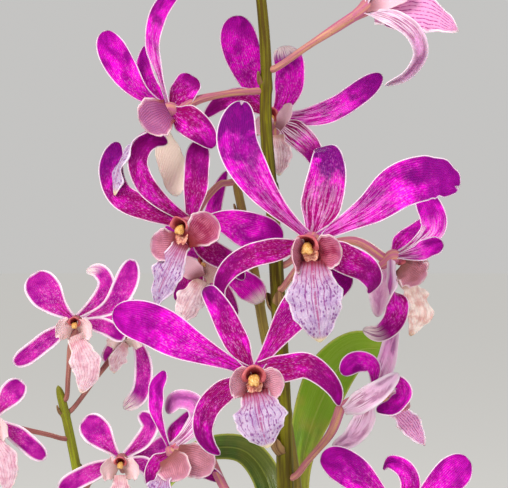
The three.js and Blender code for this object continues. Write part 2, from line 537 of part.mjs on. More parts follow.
function evenRings(count, radiusAt) {
  return Array.from({ length: count + 1 }, (_, i) => [i / count, radiusAt(i / count)]);
}

function nodeMesh(name, solid, material, at = [0, 0, 0]) {
  const mesh = new THREE.Mesh(toGeometry(solid), material);
  mesh.name = name;
  mesh.position.set(...at);
  return mesh;
}

// Pot and bark.

function lathe(profile, sides) {
  const turned = new THREE.LatheGeometry(profile.map(([r, z]) => new THREE.Vector2(r, z)), sides);
  turned.rotateX(Math.PI / 2);
  return toSolid(turned);
}

function wallRadius(height) {
  return THREE.MathUtils.lerp(pot.baseRadius, pot.rimRadius - pot.rimProud, height / pot.height);
}

function potSolid() {
  const { height, rimRadius, wall, rimBand, rimProud, floor, baseRadius } = pot;
  const bandFoot = height - rimBand;
  const innerRim = rimRadius - rimProud - wall;
  const shell = lathe([
    [0, 0], [baseRadius - 1.5, 0], [baseRadius, 1.5], [wallRadius(bandFoot - 2), bandFoot - 2],
    [rimRadius - 0.6, bandFoot], [rimRadius, bandFoot + 2], [rimRadius, height - 2], [rimRadius - 2, height],
    [innerRim + 1, height], [innerRim, height - 1], [wallRadius(floor) - wall, floor], [0, floor], [0, 0],
  ], 28);
  const drill = new THREE.CylinderGeometry(pot.holeRadius, pot.holeRadius, floor * 3, 10);
  drill.rotateX(Math.PI / 2);
  let drilled = shell;
  for (let i = 0; i < pot.holes; i += 1) {
    const angle = (2 * Math.PI * i) / pot.holes;
    const bit = drill.clone().translate(pot.holeRing * Math.cos(angle), pot.holeRing * Math.sin(angle), floor / 2);
    drilled = drilled.subtract(toSolid(bit));
  }
  return drilled;
}

function seeded(seed) {
  let state = seed;
  return () => {
    state = (state * 16807) % 2147483647;
    return state / 2147483647;
  };
}

function barkSolid(cutters) {
  const innerAt = (height) => wallRadius(height) - pot.wall - gap;
  const bottom = pot.floor + gap;
  let fill = lathe([
    [0, bottom], [innerAt(pot.floor), bottom], [innerAt(bark.top - 3), bark.top - 3],
    [innerAt(bark.top) - 6, bark.top], [0, bark.top + 2], [0, bottom],
  ], 22);
  const random = seeded(bark.seed);
  const reach = innerAt(bark.top) - 16;
  const chips = [];
  for (let i = 0; i < bark.chips; i += 1) {
    const radius = reach * Math.sqrt((i + 0.5) / bark.chips);
    const angle = i * 2.39996 + random() * 0.3;
    const scale = 0.75 + random() * 0.5;
    const chip = new THREE.BoxGeometry(...bark.chip.map((size) => size * scale), 1, 1, 1);
    chip.rotateX((random() - 0.5) * 0.9);
    chip.rotateY((random() - 0.5) * 0.9);
    chip.rotateZ(random() * Math.PI);
    chip.translate(radius * Math.cos(angle), radius * Math.sin(angle), bark.top + 0.4 + random() * 1.6);
    chips.push(toSolid(chip));
  }
  fill = joined([fill, ...chips]);
  return cutters.reduce((left, cutter) => left.subtract(cutter), fill);
}

// Canes with their leaves.

function caneLimb(cane, extra = 0) {
  const swell = (stop) => Math.sin(Math.PI * Math.min(1, 0.25 + stop * 0.72));
  return limbSolid(cane.path, evenRings(8, (stop) => cane.thick * (0.42 + 0.58 * swell(stop))), 6, extra);
}

function leafSolid(cane, leaf) {
  const stem = new THREE.CatmullRomCurve3(cane.path.map(vector));
  const root = stem.getPointAt(leaf.at);
  let steps = leaf.path;
  if (!steps) {
    const heading = THREE.MathUtils.degToRad(leaf.heading);
    steps = [0, 0.2, 0.45, 0.72, 1].map((share) => {
      const out = leaf.length * share * (0.92 - 0.1 * share);
      const rise = leaf.length * (leaf.rise * share - (leaf.rise * 0.62 + 0.2) * share * share);
      return [out * Math.cos(heading), out * Math.sin(heading), rise];
    });
  }
  const path = steps.map(([x, y, z]) => [root.x + x, root.y + y, root.z + z]);
  const face = leaf.face ?? [0, -0.1, 1];
  const { wide, outline = leafOutline } = leaf;
  return bladeSolid({ path, face, steady: true, wide, outline, cup: 0.3, thick: leafThickness });
}

function leafyStemSolid(cane) {
  return joined([caneLimb(cane), ...leaves[cane.name].map((leaf) => leafSolid(cane, leaf))]);
}

// Roots and the rhizome that they spring from.

const rhizome = [[-30, 12, bark.top + 1], [-22, -4, bark.top + 1], [-4, -15, bark.top + 1], [16, -16, bark.top + 1],
  [28, -8, bark.top + 1], [36, -2, bark.top + 1]];
const roots = [
  [[-22, -4, 117], [-36, -8, 119], [-48, -18, 119], [-54, -34, 118]],
  [[-4, -15, 117], [-6, -28, 119], [-16, -42, 119], [-12, -56, 118]],
  [[16, -16, 117], [20, -30, 119], [34, -42, 119], [40, -48, 118]],
  [[28, -8, 117], [40, -6, 119], [50, 4, 119], [58, 18, 118]],
  [[-30, 12, 117], [-40, 22, 119], [-42, 36, 119], [-34, 48, 118]],
  [[36, -2, 117], [38, 20, 119], [26, 38, 119], [22, 54, 118]],
];

function rootSolids(extra) {
  const rod = limbSolid(rhizome, evenRings(6, () => 4), 5, extra);
  const strands = roots.map((path) => limbSolid(path, evenRings(4, (stop) => 2.6 - stop * 0.9), 5, extra));
  return joined([rod, ...strands]);
}

// Sprays.

function spraySolid({ path, radii, buds }) {
  const stem = limbSolid(path, evenRings(12, (stop) => THREE.MathUtils.lerp(...radii, stop)), 6);
  const curve = new THREE.CatmullRomCurve3(path.map(vector));
  const pieces = buds.flatMap(({ at, to, radius }) => {
    const start = curve.getPointAt(at);
    const end = start.clone().add(vector(to));
    const twig = limbSolid([start, end], evenRings(1, () => 0.9), 4);
    const bud = new THREE.SphereGeometry(radius, 6, 5);
    bud.scale(0.85, 0.85, 1.35);
    bud.translate(end.x, end.y, end.z);
    return [twig, toSolid(bud)];
  });
  return joined([stem, ...pieces]);
}

function stalkRoot(spray, height, toward) {
  const { path, radii } = sprays[spray];
  const curve = new THREE.CatmullRomCurve3(path.map(vector));
  let low = 0;
  let high = 1;
  for (let i = 0; i < 30; i += 1) {
    const middle = (low + high) / 2;
    if (curve.getPointAt(middle).z < height) low = middle;
    else high = middle;
  }
  const along = curve.getTangentAt(low);
  const out = toward.clone().sub(curve.getPointAt(low));
  out.addScaledVector(along, -out.dot(along)).normalize();
  const radius = THREE.MathUtils.lerp(radii[0], radii[1], low) + gap;
  return [radius, radius + 2].map((reach) => curve.getPointAt(low).addScaledVector(out, reach));
}

// Blooms.

function tepal(bloom, part, outline, extra = {}) {
  const blade = { face: bloom.facing, outline, thick: tepalThickness, ...extra, ...bloom[part] };
  const [root, ...rest] = blade.path;
  const sunk = vector(root).setLength(hubRadius * 0.7).toArray();
  return bladeSolid({ ...blade, path: [sunk, ...rest] });
}

function lipLobe(bloom, part, extra) {
  const blade = { face: bloom.facing, thick: tepalThickness, ...extra, ...bloom[part] };
  const root = part === 'lip' ? [0, 0, 0] : bloom.lip.path[0];
  const path = blade.path.map((spot) => spot.map((value, axis) => value + root[axis]));
  return bladeSolid({ ...blade, path });
}

function stalkSolid(bloom) {
  const { spray, height, via, atSpur } = bloom.stalk;
  const at = vector(bloom.at);
  const root = stalkRoot(spray, height, vector(via[0]));
  const end = vector(bloom.spur).multiplyScalar(atSpur ? 0.95 : 0.35);
  const path = [...[...root, ...via.map(vector)].map((spot) => spot.sub(at)), end];
  return limbSolid(path, evenRings(4, (stop) => 1.15 + 0.35 * stop), 5);
}

// The spur, the throat and the column in one limb.
function coreSolid(bloom) {
  const spur = vector(bloom.spur);
  const column = vector(bloom.column);
  const throat = spur.length() / (spur.length() + column.length());
  const path = [spur, spur.clone().multiplyScalar(0.5), [0, 0, 0], column.clone().multiplyScalar(0.5), column];
  const rings = [[0, 1.5], [throat * 0.55, 2.7], [throat, hubRadius], [(1 + throat) / 2, 2.3], [1, 1.8]];
  return limbSolid(path, rings, 5);
}

function perianthSolid(bloom) {
  return joined([
    coreSolid(bloom),
    stalkSolid(bloom),
    tepal(bloom, 'petal_left', petalOutline, { wave: 0.35 }),
    tepal(bloom, 'petal_right', petalOutline, { wave: 0.35 }),
    tepal(bloom, 'dorsal', sepalOutline),
    tepal(bloom, 'sepal_left', sepalOutline),
    tepal(bloom, 'sepal_right', sepalOutline),
  ]);
}

function lipSolid(bloom) {
  return joined([
    lipLobe(bloom, 'lip', { outline: lipOutline, wave: 0.9, waves: 3, cup: -0.12 }),
    lipLobe(bloom, 'lobe_left', { outline: lobeOutline, cup: 0.3 }),
    lipLobe(bloom, 'lobe_right', { outline: lobeOutline, cup: 0.3 }),
  ]);
}

// Assembly.

const orchid = new THREE.Group();

orchid.add(nodeMesh('pot', potSolid(), colours.pot));

const caneBores = canes.map((cane) => caneLimb(cane, gap));
orchid.add(nodeMesh('bark_mix', barkSolid([...caneBores, rootSolids(gap)]), colours.bark));
const rootBody = caneBores.reduce((left, bore) => left.subtract(bore), rootSolids(0));
orchid.add(nodeMesh('roots', rootBody, colours.root));

for (const cane of canes) {
  orchid.add(nodeMesh(cane.name, leafyStemSolid(cane), colours.leafyStem));
}
for (const [name, spray] of Object.entries(sprays)) {
  orchid.add(nodeMesh(name, spraySolid(spray), colours.stem));
}
for (const given of blooms) {
  const bloom = { ...plainBloom, ...given };
  orchid.add(nodeMesh(bloom.name, perianthSolid(bloom), colours.petal, bloom.at));
  orchid.add(nodeMesh(`${bloom.name}_lip`, lipSolid(bloom), colours.lip, bloom.at));
}

export default orchid;
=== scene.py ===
"""A potted dendrobium orchid: its plain solids dressed as petals, stems, leaves, bark and clay.

The tables hold millimetres, as measured on the plant. Finished meshes are in metres.
"""

import json
import logging
import math
from collections.abc import Iterable, Sequence
from dataclasses import dataclass, replace
from enum import Enum
from functools import cached_property

import bpy
import mathutils
import numpy as np
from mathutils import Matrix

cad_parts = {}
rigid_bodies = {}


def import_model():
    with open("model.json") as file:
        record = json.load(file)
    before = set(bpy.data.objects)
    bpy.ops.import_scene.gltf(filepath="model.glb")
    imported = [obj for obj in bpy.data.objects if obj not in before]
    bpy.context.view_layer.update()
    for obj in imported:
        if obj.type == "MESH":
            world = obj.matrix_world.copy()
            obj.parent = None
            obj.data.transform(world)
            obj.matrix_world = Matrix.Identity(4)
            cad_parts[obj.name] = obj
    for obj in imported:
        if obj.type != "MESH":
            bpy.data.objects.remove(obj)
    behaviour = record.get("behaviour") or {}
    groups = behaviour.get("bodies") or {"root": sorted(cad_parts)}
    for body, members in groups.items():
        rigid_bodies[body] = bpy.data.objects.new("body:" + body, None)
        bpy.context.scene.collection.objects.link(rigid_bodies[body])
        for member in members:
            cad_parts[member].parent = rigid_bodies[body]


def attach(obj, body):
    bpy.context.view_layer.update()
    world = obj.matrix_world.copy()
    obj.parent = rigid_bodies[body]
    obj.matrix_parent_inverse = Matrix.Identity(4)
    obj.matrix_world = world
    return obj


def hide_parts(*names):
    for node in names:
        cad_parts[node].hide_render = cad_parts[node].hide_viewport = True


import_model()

Point = tuple[float, float, float]
Array = np.ndarray
Socket = bpy.types.NodeSocket
Material = bpy.types.Material
Mesh = bpy.types.Mesh
Thing = bpy.types.Object
Faces = list[tuple[int, ...]]
Inputs = dict[str | int, object]

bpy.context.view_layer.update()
MM = 0.001
BODY = "root"
FRONT: Point = (0.0, -1.0, 0.0)

log = logging.getLogger("orchid")


def paint(code: str) -> tuple[float, float, float, float]:
    """Linear light, with full cover, of a colour that is given as six hexadecimal figures."""
    parts = [int(code[i : i + 2], 16) / 255 for i in (0, 2, 4)]
    return (*(((p + 0.055) / 1.055) ** 2.4 if p > 0.04045 else p / 12.92 for p in parts), 1.0)


def seeded_phases(seed: int, count: int) -> Array:
    """Random angles up to a full turn, the same on each run for the same seed."""
    return np.random.default_rng(seed).uniform(0, 2 * math.pi, count)


def smooth(value: Array, low: float, high: float) -> Array:
    """A soft step for each value, from 0 at low to 1 at high."""
    share = np.clip((value - low) / (high - low), 0, 1)
    return share * share * (3 - 2 * share)


def ring_angles(count: int) -> Array:
    """Evenly spaced angles round a full turn."""
    return np.linspace(0, 2 * math.pi, count, endpoint=False)


def unit(way: Array) -> Array:
    """The same direction, one long."""
    return way / np.linalg.norm(way)


def square_to(way: Array, along: Array) -> Array:
    """A direction without its share along a unit one."""
    return way - along * float(way @ along)


def grid(shape: tuple[int, int], *values: Array | float) -> Array:
    """Marks for each point of a grid, from values that fit its rows, its columns or all of it."""
    return np.stack([np.broadcast_to(value, shape) for value in values], axis=-1)


def flushed(share: Array) -> Array:
    """Tints of a stem that only its flush colours."""
    return np.column_stack([0 * share, share, 0 * share])


def band_faces(rings: int, size: int) -> Faces:
    """The four-sided faces between rings of as many points each, numbered ring by ring."""
    spots = [(i * size, j, (j + 1) % size) for i in range(rings - 1) for j in range(size)]
    return [(row + j, row + k, row + size + k, row + size + j) for row, j, k in spots]


def closed_faces(rings: int, size: int) -> Faces:
    """The faces between such rings, with one flat face over each end."""
    last = (rings - 1) * size
    return band_faces(rings, size) + [tuple(range(size - 1, -1, -1)), tuple(range(last, last + size))]


def link(name: str, data: Mesh | bpy.types.Light | bpy.types.Camera) -> Thing:
    """Puts a mesh, a light or a camera in the scene.

    Args:
        name: the object's name.
        data: what it holds.

    Returns:
        The object.
    """
    made = bpy.data.objects.new(name, data)
    bpy.context.scene.collection.objects.link(made)
    return made


def write_marks(mesh: Mesh, marks: dict[str, list[Array]]) -> None:
    """Stores the marks that the finishes read on a mesh's points.

    Args:
        mesh: the mesh.
        marks: rows of three values by name, for all points in order.
    """
    for label, rows in marks.items():
        mark = mesh.attributes.new(label, "FLOAT_VECTOR", "POINT")
        mark.data.foreach_set("vector", np.vstack(rows).astype(np.float32).ravel())


def turn_outward(mesh: Mesh) -> None:
    """Turns a closed mesh right side out.

    Args:
        mesh: the mesh.
    """
    corners = np.empty(len(mesh.loop_triangles) * 3, np.int32)
    mesh.loop_triangles.foreach_get("vertices", corners)
    spots = np.empty(len(mesh.vertices) * 3, np.float32)
    mesh.vertices.foreach_get("co", spots)
    a, b, c = np.moveaxis(spots.reshape(-1, 3)[corners.reshape(-1, 3)].astype(float), 1, 0)
    if float(np.einsum("ij,ij->", a, np.cross(b, c))) < 0:
        mesh.flip_normals()


def move_points(mesh: Mesh, spots: Array) -> None:
    """Puts a mesh's points where the rows say."""
    mesh.vertices.foreach_set("co", spots.astype(np.float32).ravel())


class Nodes:
    """Adds nodes to one tree."""

    def __init__(self, tree: bpy.types.NodeTree, prefix: str) -> None:
        """Takes the tree, and the first words of its nodes' types."""
        self.tree, self.prefix = tree, prefix

    def add(self, kind: str, inputs: Inputs | None = None, **settings: object) -> bpy.types.Node:
        """Adds one node.

        Args:
            kind: its type, without its first words.
            inputs: what goes into its sockets, several links to one as a list.
            **settings: its own options.

        Returns:
            The node.
        """
        made = self.tree.nodes.new(kind if kind.startswith("Function") else self.prefix + kind)
        for label, value in settings.items():
            setattr(made, label, value)
        for label, value in (inputs or {}).items():
            for item in value if isinstance(value, list) else [value]:
                if isinstance(item, Socket):
                    self.tree.links.new(item, made.inputs[label])
                else:
                    made.inputs[label].default_value = item
        return made


class Path:
    """A smooth curve through points, measured by its length."""

    def __init__(self, points: Iterable[Sequence[float]]) -> None:
        """Fits the curve.

        Args:
            points: the points it goes through, in millimetres.
        """
        knots = np.array([tuple(p) for p in points], float)
        knots = np.vstack([2 * knots[0] - knots[1], knots, 2 * knots[-1] - knots[-2]])
        spans = [self._span(*knots[i : i + 4]) for i in range(len(knots) - 3)]
        self.points = np.vstack([*spans, knots[-2][None]])
        steps = np.linalg.norm(np.diff(self.points, axis=0), axis=1)
        self.run = np.concatenate([[0.0], np.cumsum(steps)])
        self.length = float(self.run[-1])

    @staticmethod
    def _span(before: Array, start: Array, end: Array, after: Array, samples: int = 24) -> Array:
        """The curve between two of its points.

        Args:
            before: the point before the span.
            start: where the span starts.
            end: where it ends.
            after: the point after it.
            samples: how many points the span gets.

        Returns:
            The span's points, without its end.
        """
        first, middle, last = (
            max(float(np.linalg.norm(b - a)) ** 0.5, 1e-4)
            for a, b in ((before, start), (start, end), (end, after))
        )
        leave = (start - before) / first - (end - before) / (first + middle) + (end - start) / middle
        enter = (end - start) / middle - (after - start) / (middle + last) + (after - end) / last
        leave, enter = leave * middle, enter * middle
        t = np.linspace(0, 1, samples, endpoint=False)[:, None]
        square = -3 * start + 3 * end - 2 * leave - enter
        cube = 2 * start - 2 * end + leave + enter
        return start + leave * t + square * t**2 + cube * t**3

    def at(self, stops: Array) -> Array:
        """Points along the curve, one row for each stop from 0 to 1."""
        run = np.atleast_1d(stops) * self.length
        return np.stack([np.interp(run, self.run, self.points[:, k]) for k in range(3)], axis=1)

    def heading(self, stops: Array, step: float = 0.012) -> Array:
        """Which way the curve goes.

        Args:
            stops: how far along, 0 to 1.
            step: how far to either side the curve is looked at.

        Returns:
            One unit row for each stop.
        """
        ahead = self.at(np.clip(np.atleast_1d(stops) + step, 0, 1))
        way = ahead - self.at(np.clip(np.atleast_1d(stops) - step, 0, 1))
        return way / np.linalg.norm(way, axis=1, keepdims=True)

    def spot(self, stop: float) -> Array:
        """The point at one stop."""
        return self.at(np.array([stop]))[0]

    def way(self, stop: float) -> Array:
        """The heading at one stop."""
        return self.heading(np.array([stop]))[0]

    def facing(self, stops: Array, face: Sequence[float], steady: bool = False) -> Array:
        """Upward directions that turn with the curve and don't spin round it.

        Args:
            stops: how far along, 0 to 1, in order.
            face: which way the curve's root faces.
            steady: True where every stop faces as the root does.

        Returns:
            One unit row for each stop, square to the curve.
        """
        up = np.array(face, float)
        rows = []
        for along in self.heading(stops):
            up = unit(square_to(np.array(face, float) if steady else up, along))
            rows.append(up)
        return np.array(rows)


class Stock:
    """Gathers the skins of one piece, with the marks that its finishes read."""

    def __init__(self) -> None:
        """Starts empty."""
        self.vertices: list[Array] = []
        self.faces: Faces = []
        self.slots: list[int] = []
        self.uv: list[Array] = []
        self.marks: dict[str, list[Array]] = {"grain": [], "lay": [], "tone": []}
        self.count = 0

    def add(self, vertices: Array, faces: Faces, slot: int, uv: Array, **marks: Array) -> None:
        """Adds one closed skin.

        Args:
            vertices: its points, in millimetres.
            faces: its faces, numbered from 0.
            slot: which of the piece's finishes it wears.
            uv: its flat coordinates.
            **marks: grain, lay and tone, one row for each point.
        """
        self.faces.extend(tuple(k + self.count for k in f) for f in faces)
        self.slots.extend([slot] * len(faces))
        self.vertices.append(vertices * MM)
        self.uv.append(uv)
        for name, rows in self.marks.items():
            rows.append(marks[name])
        self.count += len(vertices)

    def piece(self, name: str, *looks: "Look") -> Thing:
        """Makes the piece.

        Args:
            name: what it is called.
            *looks: its finishes, in the order of the skins' slots.

        Returns:
            The object, with its place in its mesh.
        """
        mesh = bpy.data.meshes.new(name)
        mesh.from_pydata(np.vstack(self.vertices).tolist(), [], self.faces)
        mesh.polygons.foreach_set("use_smooth", [True] * len(mesh.polygons))
        mesh.polygons.foreach_set("material_index", self.slots)
        corners = np.empty(len(mesh.loops), np.int32)
        mesh.loops.foreach_get("vertex_index", corners)
        layer = mesh.uv_layers.new(name="UVMap")
        layer.uv.foreach_set("vector", np.vstack(self.uv)[corners].astype(np.float32).ravel())
        spread = (0.8, 0, 0)
        across = np.vstack(self.marks["grain"]) * spread
        write_marks(mesh, {**self.marks, "round": [across]})
        for look in looks:
            mesh.materials.append(look.material)
        mesh.update()
        return link(name, mesh)


@dataclass(frozen=True)
class Outline:
    """How wide a blade is along its length, as a share of its full width.

    root is its share up to the stop start, swell where it is full, tip where it starts to
    close, point how blunt it closes and cusp how much it draws in just before its end.
    """

    root: float
    swell: float
    tip: float
    point: float
    start: float = 0.0
    cusp: float = 0.0

    def share(self, stops: Array) -> Array:
        """The blade's share of its full width.

        Args:
            stops: how far along, 0 to 1.

        Returns:
            One share for each stop.
        """
        body = self.root + (1 - self.root) * smooth(stops, self.start, self.swell)
        past = np.clip((stops - self.tip) / (1 - self.tip), 0, 1)
        return body * np.sqrt(np.clip(1 - past**self.point, 0.0006, 1)) * (1 - self.cusp * past**4)


@dataclass(frozen=True)
class Relief:
    """The hollows, waves and rolled margins of a blade, in millimetres or shares of its half width."""

    cup: float = 0.18
    groove: float = 0.14
    ripple: float = 0.3
    ripples: float = 3.0
    roll: float = 0.0
    frill: float = 0.0
    frills: float = 6.0
    ragged: float = 0.0
    notch: float = 0.0
    thick: float = 0.55


@dataclass(frozen=True)
class Part:
    """One blade of a bloom: the path it follows from the throat, its width and its tints."""

    path: tuple[Point, ...]
    wide: float
    face: Point | None = None
    twist: float = 0.0
    turning: tuple[float, float] | None = None
    cloud: float = 0.5
    pallor: float = 0.0
    warm: float = 0.0
    relief: Relief | None = None
    outline: Outline | None = None


class Blade:
    """A thin closed blade that follows a path."""

    def __init__(
        self, part: Part, outline: Outline, relief: Relief, face: Point, steady: bool = False
    ) -> None:
        """Settles the blade's shape.

        Args:
            part: its path, width and tints.
            outline: how its width goes along it, where the part has none of its own.
            relief: its hollows and waves, where the part has none of its own.
            face: which way its root faces, where the part has no face of its own.
            steady: True where it keeps facing that way.
        """
        self.part = part
        self.outline = part.outline or outline
        self.relief = part.relief or relief
        self.path = Path(part.path)
        self.face = part.face or face
        self.steady = steady

    def skin(
        self, stock: Stock, slot: int, seed: int, at: Point = (0, 0, 0), *, rows: int, columns: int
    ) -> None:
        """Adds the blade to a piece.

        Args:
            stock: the piece's skins.
            slot: which finish it wears.
            seed: picks its small irregularities.
            at: where the path is measured from.
            rows: points along it.
            columns: points across it.
        """
        t = np.linspace(0, 1, rows)
        stops = 0.5 * t + 0.5 * np.sin(t * math.pi / 2)
        x = np.linspace(-1, 1, columns)
        across = 0.45 * x + 0.55 * np.sin(x * math.pi / 2)
        relief, share = self.relief, self.outline.share(stops)
        phases = seeded_phases(seed, 6)
        half = self.part.wide / 2 * share
        left, right = (
            1 + relief.frill * np.sin(2 * math.pi * relief.frills * stops + phases[k])
            + 0.4 * relief.frill * np.sin(2 * math.pi * relief.frills * 2.3 * stops + phases[k + 2])
            + relief.ragged * smooth(stops, 0.7, 0.9) * np.sin(stops * 67 + phases[k + 3])
            for k in (0, 1)
        )
        s, u = np.meshgrid(across, stops)
        reach = np.where(s < 0, left[:, None], right[:, None]) * half[:, None]
        wave = np.where(s < 0, phases[4], phases[5])
        lift = relief.cup * half[:, None] * (s**2 - 0.5)
        waves = np.sin(2 * math.pi * relief.ripples * u + wave)
        lift = lift + relief.ripple * share[:, None] * np.abs(s) ** 2.5 * waves
        lift = lift - relief.groove * np.exp(-((s / 0.13) ** 2)) * np.sin(math.pi * np.clip(u, 0, 1))
        lift = lift - relief.roll * np.abs(s) ** 5 * share[:, None]
        thick = relief.thick * (1 - 0.55 * s**2)

        along = self.path.heading(stops)
        up = self.path.facing(stops, self.face, self.steady)
        side = np.cross(along, up)
        turned = smooth(stops, *self.part.turning) if self.part.turning else stops
        turn = np.radians(self.part.twist) * turned[:, None]
        normal = up * np.cos(turn) + np.cross(along, up) * np.sin(turn)
        lateral = side * np.cos(turn) + np.cross(along, side) * np.sin(turn)
        spine = self.path.at(stops) + np.array(at)
        back = relief.notch * np.exp(-((s / 0.5) ** 2)) * smooth(stops, 0.75, 1)[:, None]
        skins = []
        for sign in (0.5, -0.5):
            spot = spine[:, None] + lateral[:, None] * (s * reach)[..., None]
            spot = spot - along[:, None] * back[..., None]
            skins.append(spot + normal[:, None] * (lift + sign * thick)[..., None])
        edge = np.minimum(reach * (1 - np.abs(s)), (1 - u) * self.path.length + 0.05)
        grain = grid(s.shape, s * reach, u * self.path.length, seed * 3.7)
        uv = np.stack([s * 0.5 + 0.5, u], axis=-1).reshape(-1, 2)
        tone = np.tile([self.part.cloud, self.part.pallor, self.part.warm], (rows * columns * 2, 1))
        lay = [grid(s.shape, u, edge, front).reshape(-1, 3) for front in (1.0, 0.0)]
        marks = {"grain": np.vstack([grain.reshape(-1, 3)] * 2), "lay": np.vstack(lay), "tone": tone}
        spots = np.vstack([k.reshape(-1, 3) for k in skins])
        stock.add(spots, self._faces(rows, columns), slot, np.vstack([uv, uv]), **marks)

    @staticmethod
    def _faces(rows: int, columns: int) -> Faces:
        """The faces of a closed blade.

        Args:
            rows: points along it.
            columns: points across it.

        Returns:
            Its front, back, sides and ends.
        """
        count = rows * columns
        faces = []
        for i in range(rows - 1):
            for j in range(columns - 1):
                a = i * columns + j
                b = a + columns
                faces.append((a, a + 1, b + 1, b))
                faces.append((count + a, count + b, count + b + 1, count + a + 1))
            left, right = i * columns, (i + 1) * columns - 1
            faces.append((left, left + columns, count + left + columns, count + left))
            faces.append((right, count + right, count + right + columns, right + columns))
        last = (rows - 1) * columns
        for j in range(columns - 1):
            faces.append((j, count + j, count + j + 1, j + 1))
            faces.append((last + j, last + j + 1, count + last + j + 1, count + last + j))
        return faces


Value = Socket | float | tuple[float, ...]
Colour = Value | str


class Graph(Nodes):
    """Builds the nodes of one finish, coat by coat."""

    def __init__(self, name: str) -> None:
        """Starts an empty material.

        Args:
            name: the material's name.
        """
        self.finish = bpy.data.materials.new(name)
        self.finish.use_nodes = True
        super().__init__(self.finish.node_tree, "ShaderNode")
        self.tree.nodes.clear()
        self.colour: Colour = "FFFFFF"

    def sum(self, operation: str, *values: Value) -> Socket:
        """One step of arithmetic."""
        return self.add("Math", dict(enumerate(values)), operation=operation).outputs[0]

    def plus(self, first: Value, *others: Value) -> Value:
        """The sum of several values."""
        return self.plus(self.sum("ADD", first, others[0]), *others[1:]) if others else first

    def times(self, first: Value, *others: Value) -> Value:
        """The product of several values."""
        return self.times(self.sum("MULTIPLY", first, others[0]), *others[1:]) if others else first

    def off_middle(self, value: Value) -> Socket:
        """How far a value is over a half."""
        return self.sum("SUBTRACT", value, 0.5)

    def beside(self, value: Value) -> Socket:
        """How far a value is from a half, to either side."""
        return self.sum("ABSOLUTE", self.off_middle(value))

    def rest(self, value: Value) -> Socket:
        """What a share leaves of the whole."""
        return self.sum("SUBTRACT", 1.0, value)

    def ridges(self, lines: Value) -> Socket:
        """Rounded ridges with a sharp valley at each whole number."""
        return self.sum("ABSOLUTE", self.sum("SINE", self.times(lines, math.pi)))

    def step(self, value: Value, low: float, high: float) -> Socket:
        """A soft step from 0 at low to 1 at high, which goes down where low is the higher."""
        ends = {1: min(low, high), 2: max(low, high), 3: float(low > high), 4: float(low < high)}
        return self.add("MapRange", {0: value, **ends}, interpolation_type="SMOOTHSTEP").outputs[0]

    def mix(self, share: Value, below: Colour, above: Colour) -> Socket:
        """Lays one colour, or its code, over another by a share from 0 to 1."""
        pair = [paint(colour) if isinstance(colour, str) else colour for colour in (below, above)]
        return self.add("Mix", {0: share, 6: pair[0], 7: pair[1]}, data_type="RGBA").outputs[2]

    def coat(self, colour: Colour, *shares: Value) -> None:
        """Lays a colour over the coats so far, by the product of its shares."""
        self.colour = self.mix(self.times(*shares), self.colour, colour)

    def noise(self, place: Value, scale: float, detail: float = 3, distortion: float = 0) -> Socket:
        """Cloudy noise round 0.5, by its scale, its finer layers and how much it swirls."""
        inputs = {"Vector": place, "Scale": scale, "Detail": detail, "Distortion": distortion}
        return self.add("TexNoise", inputs).outputs[0]

    def cells(self, place: Value, scale: float, feature: str = "F1") -> Socket:
        """Distance to the nearest of scattered points, or with DISTANCE_TO_EDGE to a border between two."""
        return self.add("TexVoronoi", {"Vector": place, "Scale": scale}, feature=feature).outputs["Distance"]

    def mark(self, name: str) -> Socket:
        """A vector that each point of the piece carries."""
        return self.add("Attribute", attribute_name=name).outputs["Vector"]

    def split(self, vector: Socket) -> tuple[Socket, Socket, Socket]:
        """A vector's three values."""
        out = self.add("SeparateXYZ", {0: vector}).outputs
        return out[0], out[1], out[2]

    def join(self, x: Value, y: Value, z: Value = 0.0) -> Socket:
        """The vector of three values."""
        return self.add("CombineXYZ", {0: x, 1: y, 2: z}).outputs[0]

    def place(self) -> Socket:
        """The place on the object, in metres."""
        return self.add("TexCoord").outputs["Object"]

    @cached_property
    def blade(self) -> tuple[Socket, Socket, Socket]:
        """A point's place across its blade, its millimetres along it and the blade's own number.

        Returns:
            The place from 0 to 1, the millimetres and the number.
        """
        across, _, _ = self.split(self.add("TexCoord").outputs["UV"])
        _, along, seed = self.split(self.mark("grain"))
        return across, along, seed

    def drawn(self, across: float, along: float) -> Socket:
        """Coordinates of a pattern by its scale over a blade's width and in each millimetre along it."""
        u, run, seed = self.blade
        return self.join(self.times(u, across), self.times(run, along), seed)

    def streaks(self, across: float, along: float, detail: float = 3, distortion: float = 0) -> Socket:
        """Noise that is drawn out along its blade."""
        return self.noise(self.drawn(across, along), 1.0, detail, distortion)

    def surface(
        self, roughness: Value, height: Value, depth: float, gloss: float = 0.5, glow: float = 0.0,
        **fixed: Value,
    ) -> Material:
        """Ends the finish with its shader.

        Args:
            roughness: how dull it is.
            height: its fine relief, 0 to 1.
            depth: how deep that relief is, in metres.
            gloss: how much it mirrors.
            glow: how much light spreads in its first millimetre.
            **fixed: other sockets of the shader, with _ for each space.

        Returns:
            The material.
        """
        bump = self.add("Bump", {"Strength": 1.0, "Distance": depth, "Height": height})
        inputs = {"Base Color": self.colour, "Roughness": roughness, "Normal": bump.outputs[0]}
        inputs["Specular IOR Level"] = gloss
        inputs |= {label.replace("_", " "): value for label, value in fixed.items()}
        if glow:
            inputs |= {"Subsurface Weight": glow, "Subsurface Scale": MM}
        shader = self.add("BsdfPrincipled", inputs)
        self.add("OutputMaterial", {"Surface": shader.outputs[0]})
        return self.finish


